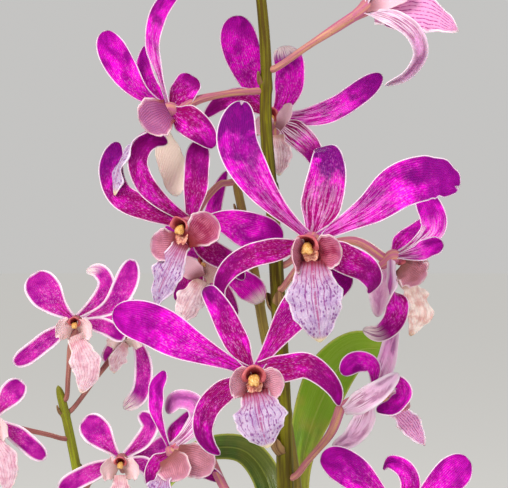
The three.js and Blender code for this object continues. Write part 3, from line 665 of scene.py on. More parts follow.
@dataclass(frozen=True)
class PetalFinish:
    """Magenta tepals: purple towards the tip, fine veins, pale flecks at the root, thin white margins."""

    name: str
    full: str = "F00CD2"
    deep: str = "9A0488"
    cloud: str = "66066A"
    light: str = "F07AD6"
    wine: str = "8A0450"
    pale: str = "FCE6F4"
    back: str = "C45CAE"
    margin: float = 0.85
    hem: float = 0.42

    def build(self) -> Material:
        """Builds the material.

        Returns:
            The material.
        """
        g = Graph(self.name)
        run, edge, front = g.split(g.mark("lay"))
        cloudy, pallor, warm = g.split(g.mark("tone"))
        u, _, _ = g.blade
        wander = g.streaks(2.0, 0.12, 2)
        lines = g.plus(g.times(u, 19.0), g.times(wander, 2.6))
        ridge = g.ridges(lines)
        streak = g.streaks(17.0, 0.13, 3)
        blotch = g.streaks(2.4, 0.17, 4, 0.4)
        fleck = g.streaks(26.0, 1.15, 2)
        net = g.cells(g.drawn(7.0, 0.55), 1.0, "DISTANCE_TO_EDGE")
        grainy = g.noise(g.mark("grain"), 2.8, 4)

        distal = g.plus(run, g.times(g.off_middle(blotch), 0.9))
        g.colour = g.mix(g.step(blotch, 0.36, 0.7), self.full, self.deep)
        g.coat(self.wine, warm, g.step(blotch, 0.24, 0.54))
        g.coat(self.cloud, g.step(distal, 0.46, 0.84), cloudy)
        g.coat(self.deep, g.step(ridge, 0.6, 0.1), g.step(fleck, 0.3, 0.5), 0.6)
        g.coat(self.deep, g.step(g.streaks(6.0, 0.45, 3, 0.6), 0.5, 0.68), 0.45)
        web = g.times(g.step(net, 0.02, 0.14), g.step(fleck, 0.46, 0.62), g.step(distal, 0.95, 0.35))
        g.coat(self.light, web, 0.36)
        g.coat(self.pale, g.step(fleck, 0.56, 0.8), g.step(distal, 0.8, 0.2), 0.24)
        g.coat(self.pale, g.step(streak, 0.56, 0.4), g.step(run, 0.72, 0.04), pallor)
        g.coat("8E0448", g.step(streak, 0.48, 0.6), g.step(run, 0.6, 0.1), 0.75)
        g.coat(self.pale, g.step(edge, self.hem, self.hem * 0.3), self.margin)
        behind = g.mix(g.step(streak, 0.44, 0.62), self.back, "A83E92")
        behind = g.mix(g.times(g.step(edge, 1.6, 0.3), 0.8), behind, self.pale)
        g.coat(behind, g.rest(front))
        washed = g.step(pallor, 1.4, 2.0)
        g.coat("FAD2EE", washed, g.plus(0.35, g.times(g.step(blotch, 0.6, 0.4), 0.5)))
        g.coat(self.pale, washed, g.step(edge, 1.4, 0.3), 0.9)
        g.coat("F7E6E4", g.step(run, 0.74, 0.96), g.step(streak, 0.3, 0.5), g.times(pallor, -1.0))

        height = g.plus(g.times(ridge, 0.5), g.plus(g.times(fleck, 0.6), g.times(grainy, 0.5)))
        roughness = g.plus(0.36, g.times(grainy, 0.25))
        return g.surface(roughness, height, 0.00026, gloss=0.04, glow=0.08)


@dataclass(frozen=True)
class LipFinish:
    """The lip's middle lobe: pale lavender with purple veins, dots and pale flecks of painted highlight, rosy
    at its neck, with a tan point.
    """

    name: str
    ground: str = "B8A2BE"
    shade: str = "A080AA"
    vein: str = "701C76"
    neck: str = "A8406A"
    tip: str = "EAD8A8"
    veins: float = 9.0

    def build(self) -> Material:
        """Builds the material.

        Returns:
            The material.
        """
        g = Graph(self.name)
        run, edge, front = g.split(g.mark("lay"))
        _, pallor, warm = g.split(g.mark("tone"))
        grain = g.mark("grain")
        wide, along, seed = g.split(grain)
        u, _, _ = g.blade
        wander = g.noise(grain, 0.22, 2)
        fine = g.noise(grain, 3.0, 3)
        lines = g.plus(g.times(u, self.veins), g.times(g.off_middle(wander), 0.9))
        ridge = g.ridges(lines)
        dashes = g.streaks(9.0, 1.1, 2)
        vein = g.times(g.step(ridge, 0.42, 0.08), g.step(run, 1.0, 0.45), g.step(dashes, 0.36, 0.54))
        side = g.beside(u)
        speck = g.cells(g.join(wide, g.times(along, 0.65), seed), 1.2)
        dots = g.times(g.step(speck, 0.4, 0.24), g.step(run, 0.18, 0.36), g.step(side, 0.04, 0.12))
        clouds = g.noise(grain, 0.4, 4)
        g.colour = g.mix(g.step(clouds, 0.35, 0.7), self.ground, self.shade)
        # Painted highlights: pale flecks of EFE0EE over the lip's ground.
        g.coat("EFE0EE", g.step(fine, 0.5, 0.7), 0.3)
        g.coat("A83C84", g.step(side, 0.26, 0.14), g.step(ridge, 0.5, 0.1), g.step(run, 0.8, 0.5), 0.6)
        g.coat(self.vein, vein, 0.85)
        g.coat(self.vein, dots, 0.75)
        g.coat("96206A", g.step(side, 0.034, 0.01), g.step(dashes, 0.3, 0.5), g.step(run, 0.98, 0.88), 0.75)
        g.coat(self.neck, g.step(run, 0.42, 0.06), g.plus(0.55, g.times(g.step(ridge, 0.7, 0.2), 0.4)))
        g.coat("6E1620", g.step(run, 0.16, 0.05), 0.85)
        g.coat("F3E8F2", g.step(edge, 0.7, 0.15), 0.6)
        g.coat(self.tip, g.step(run, 0.9, 0.985), 0.9)
        pink = g.mix(g.times(g.step(ridge, 0.7, 0.1), g.step(dashes, 0.3, 0.6)), "E69CCA", "A82C84")
        g.coat(g.mix(g.step(edge, 1.0, 0.2), pink, "FBE8F2"), pallor)
        g.coat(g.mix(g.step(clouds, 0.35, 0.7), "F8E6D6", "DAA994"), warm)
        g.coat(g.mix(0.5, g.colour, "D8B4D0"), g.rest(front))
        height = g.plus(g.times(ridge, 0.5), g.times(fine, 0.5))
        roughness = g.plus(0.42, g.times(fine, 0.2))
        return g.surface(roughness, height, 0.00024, gloss=0.12, glow=0.1)


@dataclass(frozen=True)
class LobeFinish:
    """The lip's side lobes: dusty rose with fine branching veins, dark red in the throat, pale margins."""

    name: str
    ground: str = "90294E"
    light: str = "B45A76"
    vein: str = "6C1438"
    throat: str = "7A2420"

    def build(self) -> Material:
        """Builds the material.

        Returns:
            The material.
        """
        g = Graph(self.name)
        run, edge, front = g.split(g.mark("lay"))
        mauve, pallor, warm = g.split(g.mark("tone"))
        grain = g.mark("grain")
        u, _, _ = g.blade
        wander = g.noise(grain, 0.5, 2)
        lines = g.plus(g.times(u, 17.0), g.times(g.off_middle(wander), 0.3))
        ridge = g.ridges(lines)
        fine = g.noise(grain, 2.6, 4)
        vein = g.times(g.step(ridge, 0.6, 0.1), g.step(fine, 0.3, 0.5), g.step(edge, 0.2, 1.4))
        g.colour = g.mix(g.step(g.noise(grain, 0.4, 3), 0.35, 0.65), self.ground, self.light)
        g.coat(self.vein, vein, 0.5)
        g.coat(self.throat, g.step(run, 0.55, 0.05), 0.9)
        g.coat("C06E9C", g.step(edge, 2.8, 0.5), g.step(run, 0.3, 0.7), 0.45)
        g.coat("F0D6DE", g.step(edge, 1.0, 0.15), g.step(run, 0.14, 0.42), 0.8)
        g.coat(g.mix(g.times(vein, 0.6), "CE8496", "9A4664"), g.rest(front), 0.7)
        g.coat(g.mix(g.times(vein, 0.25), "F2C6D4", "A8407A"), pallor, g.plus(0.3, g.step(run, 0.1, 0.6)))
        g.coat(g.mix(g.times(vein, 0.3), "FFF0DE", "D29A86"), warm)
        g.coat("8E3E8C", g.step(mauve, 0.5, 1.0), g.step(edge, 0.4, 1.4), 0.5)
        height = g.plus(g.times(ridge, 0.6), g.times(fine, 0.4))
        return g.surface(g.plus(0.45, g.times(fine, 0.2)), height, 0.00022, gloss=0.12, glow=0.1)


@dataclass(frozen=True)
class ColumnFinish:
    """The column: rose outside, a salmon rim and a dark red hollow whose bottom is painted shade, near black.
    """

    name: str
    root: str = "B04A74"
    rim: str = "C8646C"
    hollow: str = "963640"
    # Colour of the painted shade at the bottom of the hollow.
    deep: str = "641014"

    def build(self) -> Material:
        """Builds the material.

        Returns:
            The material.
        """
        g = Graph(self.name)
        run, high, _ = g.split(g.mark("lay"))
        grain = g.mark("grain")
        fine = g.noise(grain, 2.2, 4)
        patch = g.noise(grain, 0.7, 3)
        g.colour = g.mix(g.step(run, 0.1, 0.42), self.root, self.rim)
        g.coat("E8A09A", g.step(patch, 0.5, 0.65), 0.25)
        g.coat(self.hollow, g.step(g.plus(run, g.times(high, 0.05)), 0.55, 0.68))
        # Painted shade: the bottom of the hollow darkened nearly to black.
        g.coat(self.deep, g.step(run, 0.74, 0.95))
        roughness = g.plus(0.4, g.times(fine, 0.2), g.times(g.step(run, 0.5, 0.6), 0.35))
        return g.surface(roughness, fine, 0.00018, gloss=0.1, glow=0.08)


@dataclass(frozen=True)
class CapFinish:
    """The cap over the pollen: waxy yellow with a paler ridge."""

    name: str
    yellow: str = "C68A38"
    ridge: str = "ECC47C"

    def build(self) -> Material:
        """Builds the material.

        Returns:
            The material.
        """
        g = Graph(self.name)
        grain = g.mark("grain")
        fine = g.noise(grain, 1.8, 4)
        pits = g.cells(grain, 2.2)
        g.colour = g.mix(g.step(fine, 0.35, 0.7), self.yellow, self.ridge)
        g.coat("A86A24", g.step(pits, 0.35, 0.1), 0.4)
        _, _, warm = g.split(g.mark("tone"))
        g.coat(g.mix(g.step(fine, 0.4, 0.6), "A84A4C", "DC988A"), warm, 0.85)
        return g.surface(g.plus(0.3, g.times(fine, 0.2)), fine, 0.00012, Coat_Weight=0.2, glow=0.1)


@dataclass(frozen=True)
class StemFinish:
    """Living stems: two tones in lengthwise streaks, with fine flecks and a soft gloss."""

    name: str
    light: str
    dark: str
    flush: str
    fleck: str = "4A3A22"
    roughness: float = 0.38
    depth: float = 0.00012

    def build(self) -> Material:
        """Builds the material.

        Returns:
            The material.
        """
        g = Graph(self.name)
        sheath, flush, _ = g.split(g.mark("tone"))
        x, y, _ = g.split(g.mark("round"))
        _, along, seed = g.split(g.mark("grain"))
        long = g.join(g.plus(g.times(x, 2.4), seed), g.times(y, 2.4), g.times(along, 0.07))
        streak = g.noise(long, 1.0, 4)
        broad = g.noise(g.place(), 60.0, 3)
        fine = g.noise(g.place(), 2200.0, 3)
        g.colour = g.mix(g.step(streak, 0.36, 0.64), self.light, self.dark)
        g.coat(self.dark, g.step(broad, 0.42, 0.66), 0.5)
        g.coat(self.flush, flush, g.step(streak, 0.3, 0.6))
        g.coat(self.fleck, g.step(g.cells(g.place(), 1300.0), 0.25, 0.08), 0.45)
        g.coat(g.mix(g.step(streak, 0.35, 0.65), "C9B58E", "8A7350"), sheath)
        height = g.plus(g.times(streak, 0.8), g.times(fine, 0.3))
        roughness = g.plus(self.roughness, g.times(fine, 0.16))
        return g.surface(roughness, height, self.depth, gloss=0.14)


@dataclass(frozen=True)
class LeafFinish:
    """Leathery leaves: a pale midrib, parallel veins, lighter margins and a waxy gloss, with painted shade
    that darkens whole leaves by their shade tint and each leaf towards its base.
    """

    name: str
    light: str = "6E9606"
    dark: str = "27480A"
    rib: str = "9DAE4C"
    back: str = "6F8742"

    def build(self) -> Material:
        """Builds the material.

        Returns:
            The material.
        """
        g = Graph(self.name)
        run, edge, front = g.split(g.mark("lay"))
        shade, yellow, _ = g.split(g.mark("tone"))
        grain = g.mark("grain")
        u, _, _ = g.blade
        veins = g.streaks(46.0, 0.03, 3)
        patch = g.noise(grain, 0.07, 4, 0.3)
        fine = g.noise(grain, 1.6, 4)
        rib = g.step(g.beside(u), 0.035, 0.008)
        # Painted shade: each leaf's shade tint darkens it towards the dark green.
        tint = g.step(g.plus(patch, g.times(g.off_middle(shade), 0.5)), 0.3, 0.68)
        g.colour = g.mix(tint, self.light, self.dark)
        broad = g.streaks(5.0, 0.05, 3)
        # Painted shade: darker green towards each leaf's base.
        g.coat(self.dark, g.step(g.plus(run, g.times(broad, 0.3)), 0.86, 0.6), g.step(broad, 0.3, 0.5), 0.75)
        g.coat(self.rib, g.step(veins, 0.42, 0.62), 0.12)
        g.coat(self.rib, rib, 0.4)
        g.coat("A9B04A", g.step(edge, 0.9, 0.15), 0.7)
        g.coat("B9A93C", yellow, g.step(patch, 0.5, 0.68), 0.6)
        g.coat("6A5526", g.step(g.cells(grain, 0.16), 0.16, 0.05), g.step(fine, 0.45, 0.6), 0.5)
        g.coat(g.mix(0.6, g.colour, self.back), g.rest(front))
        height = g.plus(g.times(veins, 0.7), g.sum("SUBTRACT", g.times(fine, 0.35), g.times(rib, 0.6)))
        roughness = g.plus(0.27, g.times(fine, 0.22))
        return g.surface(roughness, height, 0.00022, gloss=0.28, Coat_Weight=0.05)


@dataclass(frozen=True)
class ClayFinish:
    """Fired clay: a warm ground with throwing lines and pale salts, darker towards the foot and lighter round
    the top of the rim.
    """

    name: str
    ground: str = "B4623E"
    dark: str = "8C432A"
    salt: str = "DDBBA2"

    def build(self) -> Material:
        """Builds the material.

        Returns:
            The material.
        """
        g = Graph(self.name)
        place = g.place()
        x, y, z = g.split(place)
        patch = g.noise(place, 9.0, 5, 0.4)
        grit = g.noise(place, 420.0, 5)
        pits = g.cells(place, 330.0)
        rings = g.noise(g.join(g.times(x, 3.0), g.times(y, 3.0), g.times(z, 240.0)), 1.0, 3)
        g.colour = g.mix(g.step(patch, 0.3, 0.7), self.ground, self.dark)
        g.coat("C97B54", g.step(rings, 0.45, 0.65), 0.25)
        g.coat(self.salt, g.step(patch, 0.5, 0.72), g.step(grit, 0.35, 0.6), g.step(z, 0.02, 0.1), 0.5)
        # Darker towards the foot, with a patchy edge.
        g.coat("6E3420", g.step(g.plus(z, g.times(patch, 0.03)), 0.045, 0.018), 0.45)
        # Lighter round the top of the rim.
        g.coat("CE8A66", g.step(z, 0.1265, 0.1295), 0.45)
        g.coat("71361F", g.step(grit, 0.6, 0.75), 0.35)
        height = g.sum("SUBTRACT", g.plus(g.times(grit, 0.4), rings), g.times(g.step(pits, 0.2, 0.05), 0.7))
        return g.surface(g.plus(0.78, g.times(grit, 0.15)), height, 0.0005, gloss=0.3)


@dataclass(frozen=True)
class BarkFinish:
    """Bark chips: layered browns that differ from chip to chip."""

    name: str

    def build(self) -> Material:
        """Builds the material.

        Returns:
            The material.
        """
        g = Graph(self.name)
        place = g.place()
        pick, _, _ = g.split(g.mark("tone"))
        drawn = g.add("Mapping", {"Vector": place, "Scale": (90.0, 160.0, 420.0)}).outputs[0]
        layers = g.noise(drawn, 1.0, 4)
        patch = g.noise(place, 55.0, 4)
        grit = g.noise(place, 900.0, 4)
        g.colour = g.mix(pick, "3B2415", "8A5B36")
        g.coat("5A3620", g.step(layers, 0.4, 0.62), 0.6)
        g.coat("A8835E", g.step(patch, 0.5, 0.7), 0.4)
        g.coat("20130B", g.step(grit, 0.55, 0.75), 0.5)
        height = g.plus(layers, g.times(grit, 0.6))
        return g.surface(g.plus(0.78, g.times(grit, 0.2)), height, 0.0008, gloss=0.25)


@dataclass(frozen=True)
class FloorFinish:
    """A plain pale floor with the faintest grain."""

    name: str
    tone: str = "F6F5F2"
    glow: float = 0.05

    def build(self) -> Material:
        """Builds the material.

        Returns:
            The material.
        """
        g = Graph(self.name)
        fine = g.noise(g.place(), 60.0, 3)
        g.colour = g.mix(g.times(fine, 0.05), self.tone, "DAD8D3")
        roughness = g.plus(0.85, g.times(fine, 0.08))
        light = {"Emission_Color": paint(self.tone), "Emission_Strength": self.glow}
        return g.surface(roughness, fine, 0.0002, gloss=0.0, **light)


class Look(Enum):
    """The plant's finishes."""

    PETAL = PetalFinish("petal")
    FAR_PETAL = PetalFinish("far petal", full="D62CB0", light="F09AD6", margin=0.92, hem=1.3)
    LIP = LipFinish("lip")
    LOBE = LobeFinish("side lobe")
    COLUMN = ColumnFinish("column")
    CAP = CapFinish("anther cap")
    STALK = StemFinish("flower stalk", "C4936C", "9C5C62", "B45C84", fleck="7C3E50")
    FAR_STALK = StemFinish("far flower stalk", "AE7868", "7C4A44", "93525A", fleck="6A3440")
    NEAR_SPRAY = StemFinish("flowering stem", "726E08", "3E3A02", "684818")
    MIDDLE_SPRAY = StemFinish("tan flowering stem", "98853C", "66601E", "94724A")
    FAR_SPRAY = StemFinish("far flowering stem", "86901A", "565E12", "7A7226")
    CANE = StemFinish("cane", "7D9440", "4F6A24", "8E7A3C", roughness=0.42)
    PAPER = StemFinish("papery bract", "8C6A40", "553A20", "6E4A34", roughness=0.7)
    LEAF = LeafFinish("leaf")
    CLAY = ClayFinish("fired clay")
    BARK = BarkFinish("bark chips")
    ROOT = StemFinish("root skin", "B9B99C", "8E9070", "86A04A", fleck="6E6A52", roughness=0.75, depth=0.0003)
    FLOOR = FloorFinish("pale floor")

    @cached_property
    def material(self) -> Material:
        """The finish's material, built when it is first worn."""
        return self.value.build()


class Slot(Enum):
    """The record's material slots."""

    POT = "pot"
    BARK = "bark"
    ROOT = "root"
    LEAFY_STEM = "leafy_stem"
    SPRAY_STEM = "spray_stem"
    PETAL = "petal"
    LIP = "lip"


def place(piece: Thing, slot: Slot, *nodes: str) -> None:
    """Puts a finished piece on the plant.

    Args:
        piece: the piece.
        slot: its material slot; not used.
        *nodes: the solids it stands for.
    """
    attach(piece, BODY)
    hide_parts(*nodes)
    log.info("%s: %d faces", piece.name, len(piece.data.polygons))


class Tree(Nodes):
    """Builds the nodes of one geometry tree and runs it."""

    def __init__(self, name: str, sizes: dict[str, tuple[str, object]]) -> None:
        """Starts a tree with its named inputs.

        Args:
            name: the tree's name.
            sizes: each input's kind and value.
        """
        super().__init__(bpy.data.node_groups.new(name, "GeometryNodeTree"), "GeometryNode")
        sockets = self.tree.interface
        sockets.new_socket("Geometry", in_out="INPUT", socket_type="NodeSocketGeometry")
        for label, (kind, value) in sizes.items():
            made = sockets.new_socket(label, in_out="INPUT", socket_type=f"NodeSocket{kind}")
            if value is not None:
                made.default_value = value
        sockets.new_socket("Geometry", in_out="OUTPUT", socket_type="NodeSocketGeometry")
        self.given = self.tree.nodes.new("NodeGroupInput").outputs

    def node(self, kind: str, inputs: Inputs | None = None, **settings: object) -> Socket:
        """Adds one node and gives the first of its outputs that is in use."""
        return next(socket for socket in self.add(kind, inputs, **settings).outputs if socket.enabled)

    def named(self, name: str) -> Socket:
        """A number that each point carries."""
        return self.node("InputNamedAttribute", {"Name": name}, data_type="FLOAT")

    def random(self, kind: str, low: object, high: object, seed: int) -> Socket:
        """A random value of a kind, FLOAT_VECTOR, FLOAT or INT, for each point."""
        at = {"FLOAT_VECTOR": 0, "FLOAT": 2, "INT": 4}[kind]
        return self.node("FunctionNodeRandomValue", {at: low, at + 1: high, "Seed": seed}, data_type=kind)

    def store(self, geometry: Socket, name: str, value: Socket) -> Socket:
        """Keeps a vector on each point under a name."""
        inputs = {"Geometry": geometry, "Name": name, "Value": value}
        return self.node("StoreNamedAttribute", inputs, data_type="FLOAT_VECTOR", domain="POINT")

    def end(self, geometry: Socket) -> None:
        """Makes the result real, dresses it and hands it out.

        Args:
            geometry: the result.
        """
        real = self.node("RealizeInstances", {"Geometry": geometry})
        smoothed = self.node("SetShadeSmooth", {"Geometry": real})
        dressed = self.node("SetMaterial", {"Geometry": smoothed, "Material": self.given["Finish"]})
        self.tree.links.new(dressed, self.tree.nodes.new("NodeGroupOutput").inputs[0])

    def run(self, carrier: Thing, **values: object) -> Thing:
        """Runs the tree on an object and leaves a plain mesh.

        Args:
            carrier: the object.
            **values: what its inputs are set to.

        Returns:
            The same object.
        """
        modifier = carrier.modifiers.new(self.tree.name, "NODES")
        modifier.node_group = self.tree
        for item in self.tree.interface.items_tree:
            if item.in_out == "INPUT" and item.name in values:
                modifier[item.identifier] = values[item.name]
        made = applied(carrier)
        made.name = carrier.name
        turn_outward(made)
        return carrier


def applied(carrier: Thing) -> Mesh:
    """Turns what an object's modifiers make of it into its plain mesh.

    Args:
        carrier: the object.

    Returns:
        Its new mesh.
    """
    graph = bpy.context.evaluated_depsgraph_get()
    made = bpy.data.meshes.new_from_object(
        carrier.evaluated_get(graph), preserve_all_data_layers=True, depsgraph=graph
    )
    carrier.modifiers.clear()
    carrier.data = made
    return made


def limb_tree() -> Tree:
    """The tree that turns paths with a girth into round stems.

    Returns:
        The tree.
    """
    tree = Tree("limb", {"Facets": ("Int", 14), "Finish": ("Material", None)})
    curve = tree.node("MeshToCurve", {"Mesh": tree.given["Geometry"]})
    circle = tree.node("CurvePrimitiveCircle", {"Resolution": tree.given["Facets"], "Radius": 1.0})
    circle = tree.store(circle, "round", tree.node("InputPosition"))
    sizes = {"Curve": curve, "Profile Curve": circle, "Scale": tree.named("girth"), "Fill Caps": True}
    tree.end(tree.node("CurveToMesh", sizes))
    return tree


LIMB = limb_tree()


class Limbs:
    """Round stems of one piece, swept along their paths by the limb tree."""

    def __init__(self) -> None:
        """Starts empty."""
        self.spots: list[Array] = []
        self.girths: list[Array] = []
        self.marks: dict[str, list[Array]] = {"lay": [], "grain": [], "tone": []}
        self.edges: list[tuple[int, int]] = []
        self.count = 0

    def add(self, path: Path, stops: Array, girths: Array, tone: Array | Point = (0, 0, 0)) -> None:
        """Adds one stem.

        Args:
            path: where it runs.
            stops: its rings, 0 to 1 along the path.
            girths: its radius at each ring, in millimetres.
            tone: its tints, for all or for each ring.
        """
        size, thinnest = len(stops), 0.03
        self.spots.append(path.at(stops) * MM)
        self.girths.append(np.maximum(girths, thinnest) * MM)
        self.marks["lay"].append(np.column_stack([stops, np.zeros(size), np.ones(size)]))
        run = stops * path.length
        self.marks["grain"].append(np.column_stack([np.zeros(size), run, np.full(size, self.count)]))
        self.marks["tone"].append(np.broadcast_to(np.array(tone, float), (size, 3)))
        self.edges.extend((self.count + i, self.count + i + 1) for i in range(size - 1))
        self.count += size

    def piece(self, name: str, look: Look, facets: int = 14) -> Thing:
        """Sweeps the stems.

        Args:
            name: what the piece is called.
            look: its finish.
            facets: how many sides a stem has.

        Returns:
            The piece.
        """
        mesh = bpy.data.meshes.new(name)
        mesh.from_pydata(np.vstack(self.spots).tolist(), self.edges, [])
        mesh.attributes.new("girth", "FLOAT", "POINT").data.foreach_set("value", np.concatenate(self.girths))
        write_marks(mesh, self.marks)
        return LIMB.run(link(name, mesh), Facets=facets, Finish=look.material)


def profile(stops: Array, *knots: tuple[float, float]) -> Array:
    """A radius that goes smoothly through its knots and closes round at both ends.

    Args:
        stops: where it is wanted, 0 to 1.
        *knots: each a stop and the radius there.

    Returns:
        The radius at each stop.
    """
    plain = np.interp(stops, *zip(*knots))
    soft = np.convolve(np.pad(plain, 2, mode="edge"), [0.1, 0.2, 0.4, 0.2, 0.1], mode="valid")
    ends = np.minimum(stops, 1 - stops) / 0.05
    return soft * np.sqrt(np.clip(1 - (1 - np.clip(ends, 0, 1)) ** 2, 0.003, 1))


def loft(stock: Stock, rings: Array, slot: int, lay: Array, grain: Array, tone: Point = (0, 0, 0)) -> None:
    """Adds a closed skin through rings of points.

    Args:
        stock: the piece's skins.
        rings: points by ring and place round it, in millimetres.
        slot: which finish it wears.
        lay: its marks, by ring and place.
        grain: its grain, by ring and place.
        tone: its tints.
    """
    count, size = rings.shape[:2]
    uv = np.stack(np.meshgrid(np.arange(size) / size, np.arange(count) / (count - 1)), axis=-1)
    marks = {"grain": grain.reshape(-1, 3), "lay": lay.reshape(-1, 3)}
    tones = np.tile(tone, (count * size, 1))
    stock.add(rings.reshape(-1, 3), closed_faces(count, size), slot, uv.reshape(-1, 2), tone=tones, **marks)


@dataclass(frozen=True)
class Spray:
    """One flowering stem: where it runs, its radius at foot and tip, and its buds.

    A bud is where it leaves the stem, the way to it and its radius. A dry bract is its height,
    its heading in degrees and how many times larger than the others it is.
    """

    name: str
    path: tuple[Point, ...]
    radii: tuple[float, float]
    buds: tuple[tuple[float, Point, float], ...] = ()
    joints: int = 7
    look: Look = Look.NEAR_SPRAY
    dry: tuple[tuple[float, float, float], ...] = ()
    rings: int = 140
    joint_height: float = 0.34
    joint_length: float = 0.006
    twig_sag: float = 0.8

    @cached_property
    def curve(self) -> Path:
        """The line through its middle."""
        return Path(self.path)

    def stop_at(self, height: float) -> float:
        """How far along it reaches a height in millimetres, from 0 to 1."""
        return float(np.interp(height, self.curve.points[:, 2], self.curve.run / self.curve.length))

    def radius_at(self, stop: float) -> float:
        """Its radius at a stop, between its joints."""
        return float(np.interp(stop, [0, 1], self.radii))

    def build(self) -> None:
        """Builds the stem with its joints, and the buds and papery bracts on it."""
        stops = np.linspace(0, 1, self.rings)
        girths = profile(stops, (0, self.radii[0]), (1, self.radii[1]))
        joints = [(k + 0.5) / self.joints for k in range(self.joints)]
        for at in joints:
            girths = girths + self.joint_height * np.exp(-(((stops - at) / self.joint_length) ** 2))
        limbs, stock = Limbs(), Stock()
        limbs.add(self.curve, stops, girths, flushed(0.2 + 0.5 * smooth(stops, 0.5, 1)))
        for k, (at, way, radius) in enumerate(self.buds):
            self._bud(limbs, stock, at, np.array(way), radius, k)
        bracts = [(at, k * 2.4, 1.0) for k, at in enumerate(joints)]
        bracts += [(self.stop_at(height), math.radians(way), size) for height, way, size in self.dry]
        for k, (at, angle, size) in enumerate(bracts):
            self._bract(stock, at, angle, size, k)
        place(limbs.piece(f"{self.name}_stem", self.look), Slot.SPRAY_STEM, f"spray_{self.name}")
        trim = stock.piece(f"{self.name}_buds_and_bracts", Look.PETAL, Look.PAPER)
        place(trim, Slot.SPRAY_STEM, f"spray_{self.name}")

    def _bract(self, stock: Stock, at: float, angle: float, size: float, seed: int) -> None:
        """Adds a papery bract that clasps the stem.

        Args:
            stock: the piece's skins.
            at: where it leaves the stem, 0 to 1.
            angle: its heading, in radians.
            size: how many times larger than a plain one it is.
            seed: picks its small irregularities.
        """
        foot, along = self.curve.spot(at), self.curve.way(at)
        out = square_to(np.array((math.cos(angle), math.sin(angle), 0.0)), along)
        radius = self.radius_at(at)
        steps = [foot + out * radius * 0.8]
        steps += [foot + out * (radius + 0.4 * size**3) + along * 2 * size]
        steps += [foot + out * (radius + 0.7 * size**4) + along * 4.6 * size]
        part = Part(tuple(map(tuple, steps)), radius * 1.7 * size, face=tuple(-out), cloud=0.1, pallor=0.4)
        relief = Relief(cup=0.7, groove=0.0, ripple=0.1, thick=0.35)
        Blade(part, BRACT, relief, FRONT).skin(stock, 1, seed, rows=14, columns=9)

    def _bud(self, limbs: Limbs, stock: Stock, at: float, way: Array, radius: float, seed: int) -> None:
        """Adds a twig and a closed bud on it, with its three outer tepals folded over each other.

        Args:
            limbs: the stem and its twigs.
            stock: the skins of buds and bracts.
            at: where the twig leaves the stem, 0 to 1.
            way: from there to the bud's middle.
            radius: the bud's radius.
            seed: picks its small irregularities.
        """
        start = self.curve.spot(at)
        centre = start + way
        twig = Path([start, (start + centre) / 2 - np.array((0, 0, self.twig_sag)), centre])
        steps = np.linspace(0, 1, 14)
        limbs.add(twig, steps, profile(steps, (0, 0.8), (0.7, 0.95), (1, 1.3)), (0, 0.7, 0))
        path = Path([centre - unit(way) * radius * 1.2, centre, centre + unit(way) * radius * 1.5])
        v, angle = np.linspace(0, 1, 22), ring_angles(24)
        along, up = path.heading(v), path.facing(v, (0.3, -1, 0.1))
        side = np.cross(along, up)
        size = radius * profile(v, (0, 0.5), (0.3, 0.95), (0.6, 0.8), (1, 0.2))[:, None]
        size = size * (1 + 0.07 * np.abs(np.cos(1.5 * angle + v[:, None] * 0.8)) - 0.03)
        rings = path.at(v)[:, None] + up[:, None] * (size * np.cos(angle))[..., None]
        rings = rings + side[:, None] * (size * np.sin(angle))[..., None]
        lay = grid(size.shape, v[:, None] * 0.6, 3, 1)
        loft(stock, rings, 0, lay, grid(size.shape, angle * radius, v[:, None] * 8, seed + 60), (0.5, 0.4, 0))


@dataclass(frozen=True)
class Stalk:
    """A flower's stalk: the spray it leaves, the height where it does and the points it passes."""

    spray: str
    height: float
    via: tuple[Point, ...]
    at_spur: bool = False


PETAL = Outline(root=0.26, swell=0.66, tip=0.7, point=2.2)
SEPAL = Outline(root=0.42, swell=0.3, tip=0.42, point=1.6)
LIP = Outline(root=0.56, swell=0.5, tip=0.46, point=1.12, start=0.1, cusp=0.45)
LOBE = Outline(root=0.56, swell=0.5, tip=0.4, point=2.4)
LEAF = Outline(root=0.34, swell=0.36, tip=0.45, point=1.6)
BRACT = Outline(root=0.8, swell=0.3, tip=0.3, point=1.4)
STRAP = Outline(root=0.5, swell=0.45, tip=0.72, point=2.4)
KITE = Outline(root=0.42, swell=0.62, tip=0.64, point=1.7)
HORN = Outline(root=0.8, swell=0.16, tip=0.22, point=1.7)
WAVED = Relief(cup=0.3, groove=0.05, ripple=0.8, ripples=2.0, frill=0.08, frills=4.0, thick=0.45)

# The column from its root round its rim and down its hollow: reach, radius in millimetres, stop
COLUMN_KNOTS = (
    (0.1, 0.9, 0.0), (0.14, 2.0, 0.05), (0.3, 2.4, 0.15), (0.5, 2.7, 0.28), (0.7, 3.0, 0.38),
    (0.84, 3.3, 0.44), (0.92, 3.4, 0.48), (0.95, 3.2, 0.51), (0.93, 2.8, 0.55), (0.82, 2.3, 0.61),
    (0.68, 2.0, 0.68), (0.58, 1.4, 0.8), (0.55, 0.4, 0.95), (0.55, 0.05, 1.0),
)
COLUMN_SIDES = 28
THROAT_RADIUS = 3.4


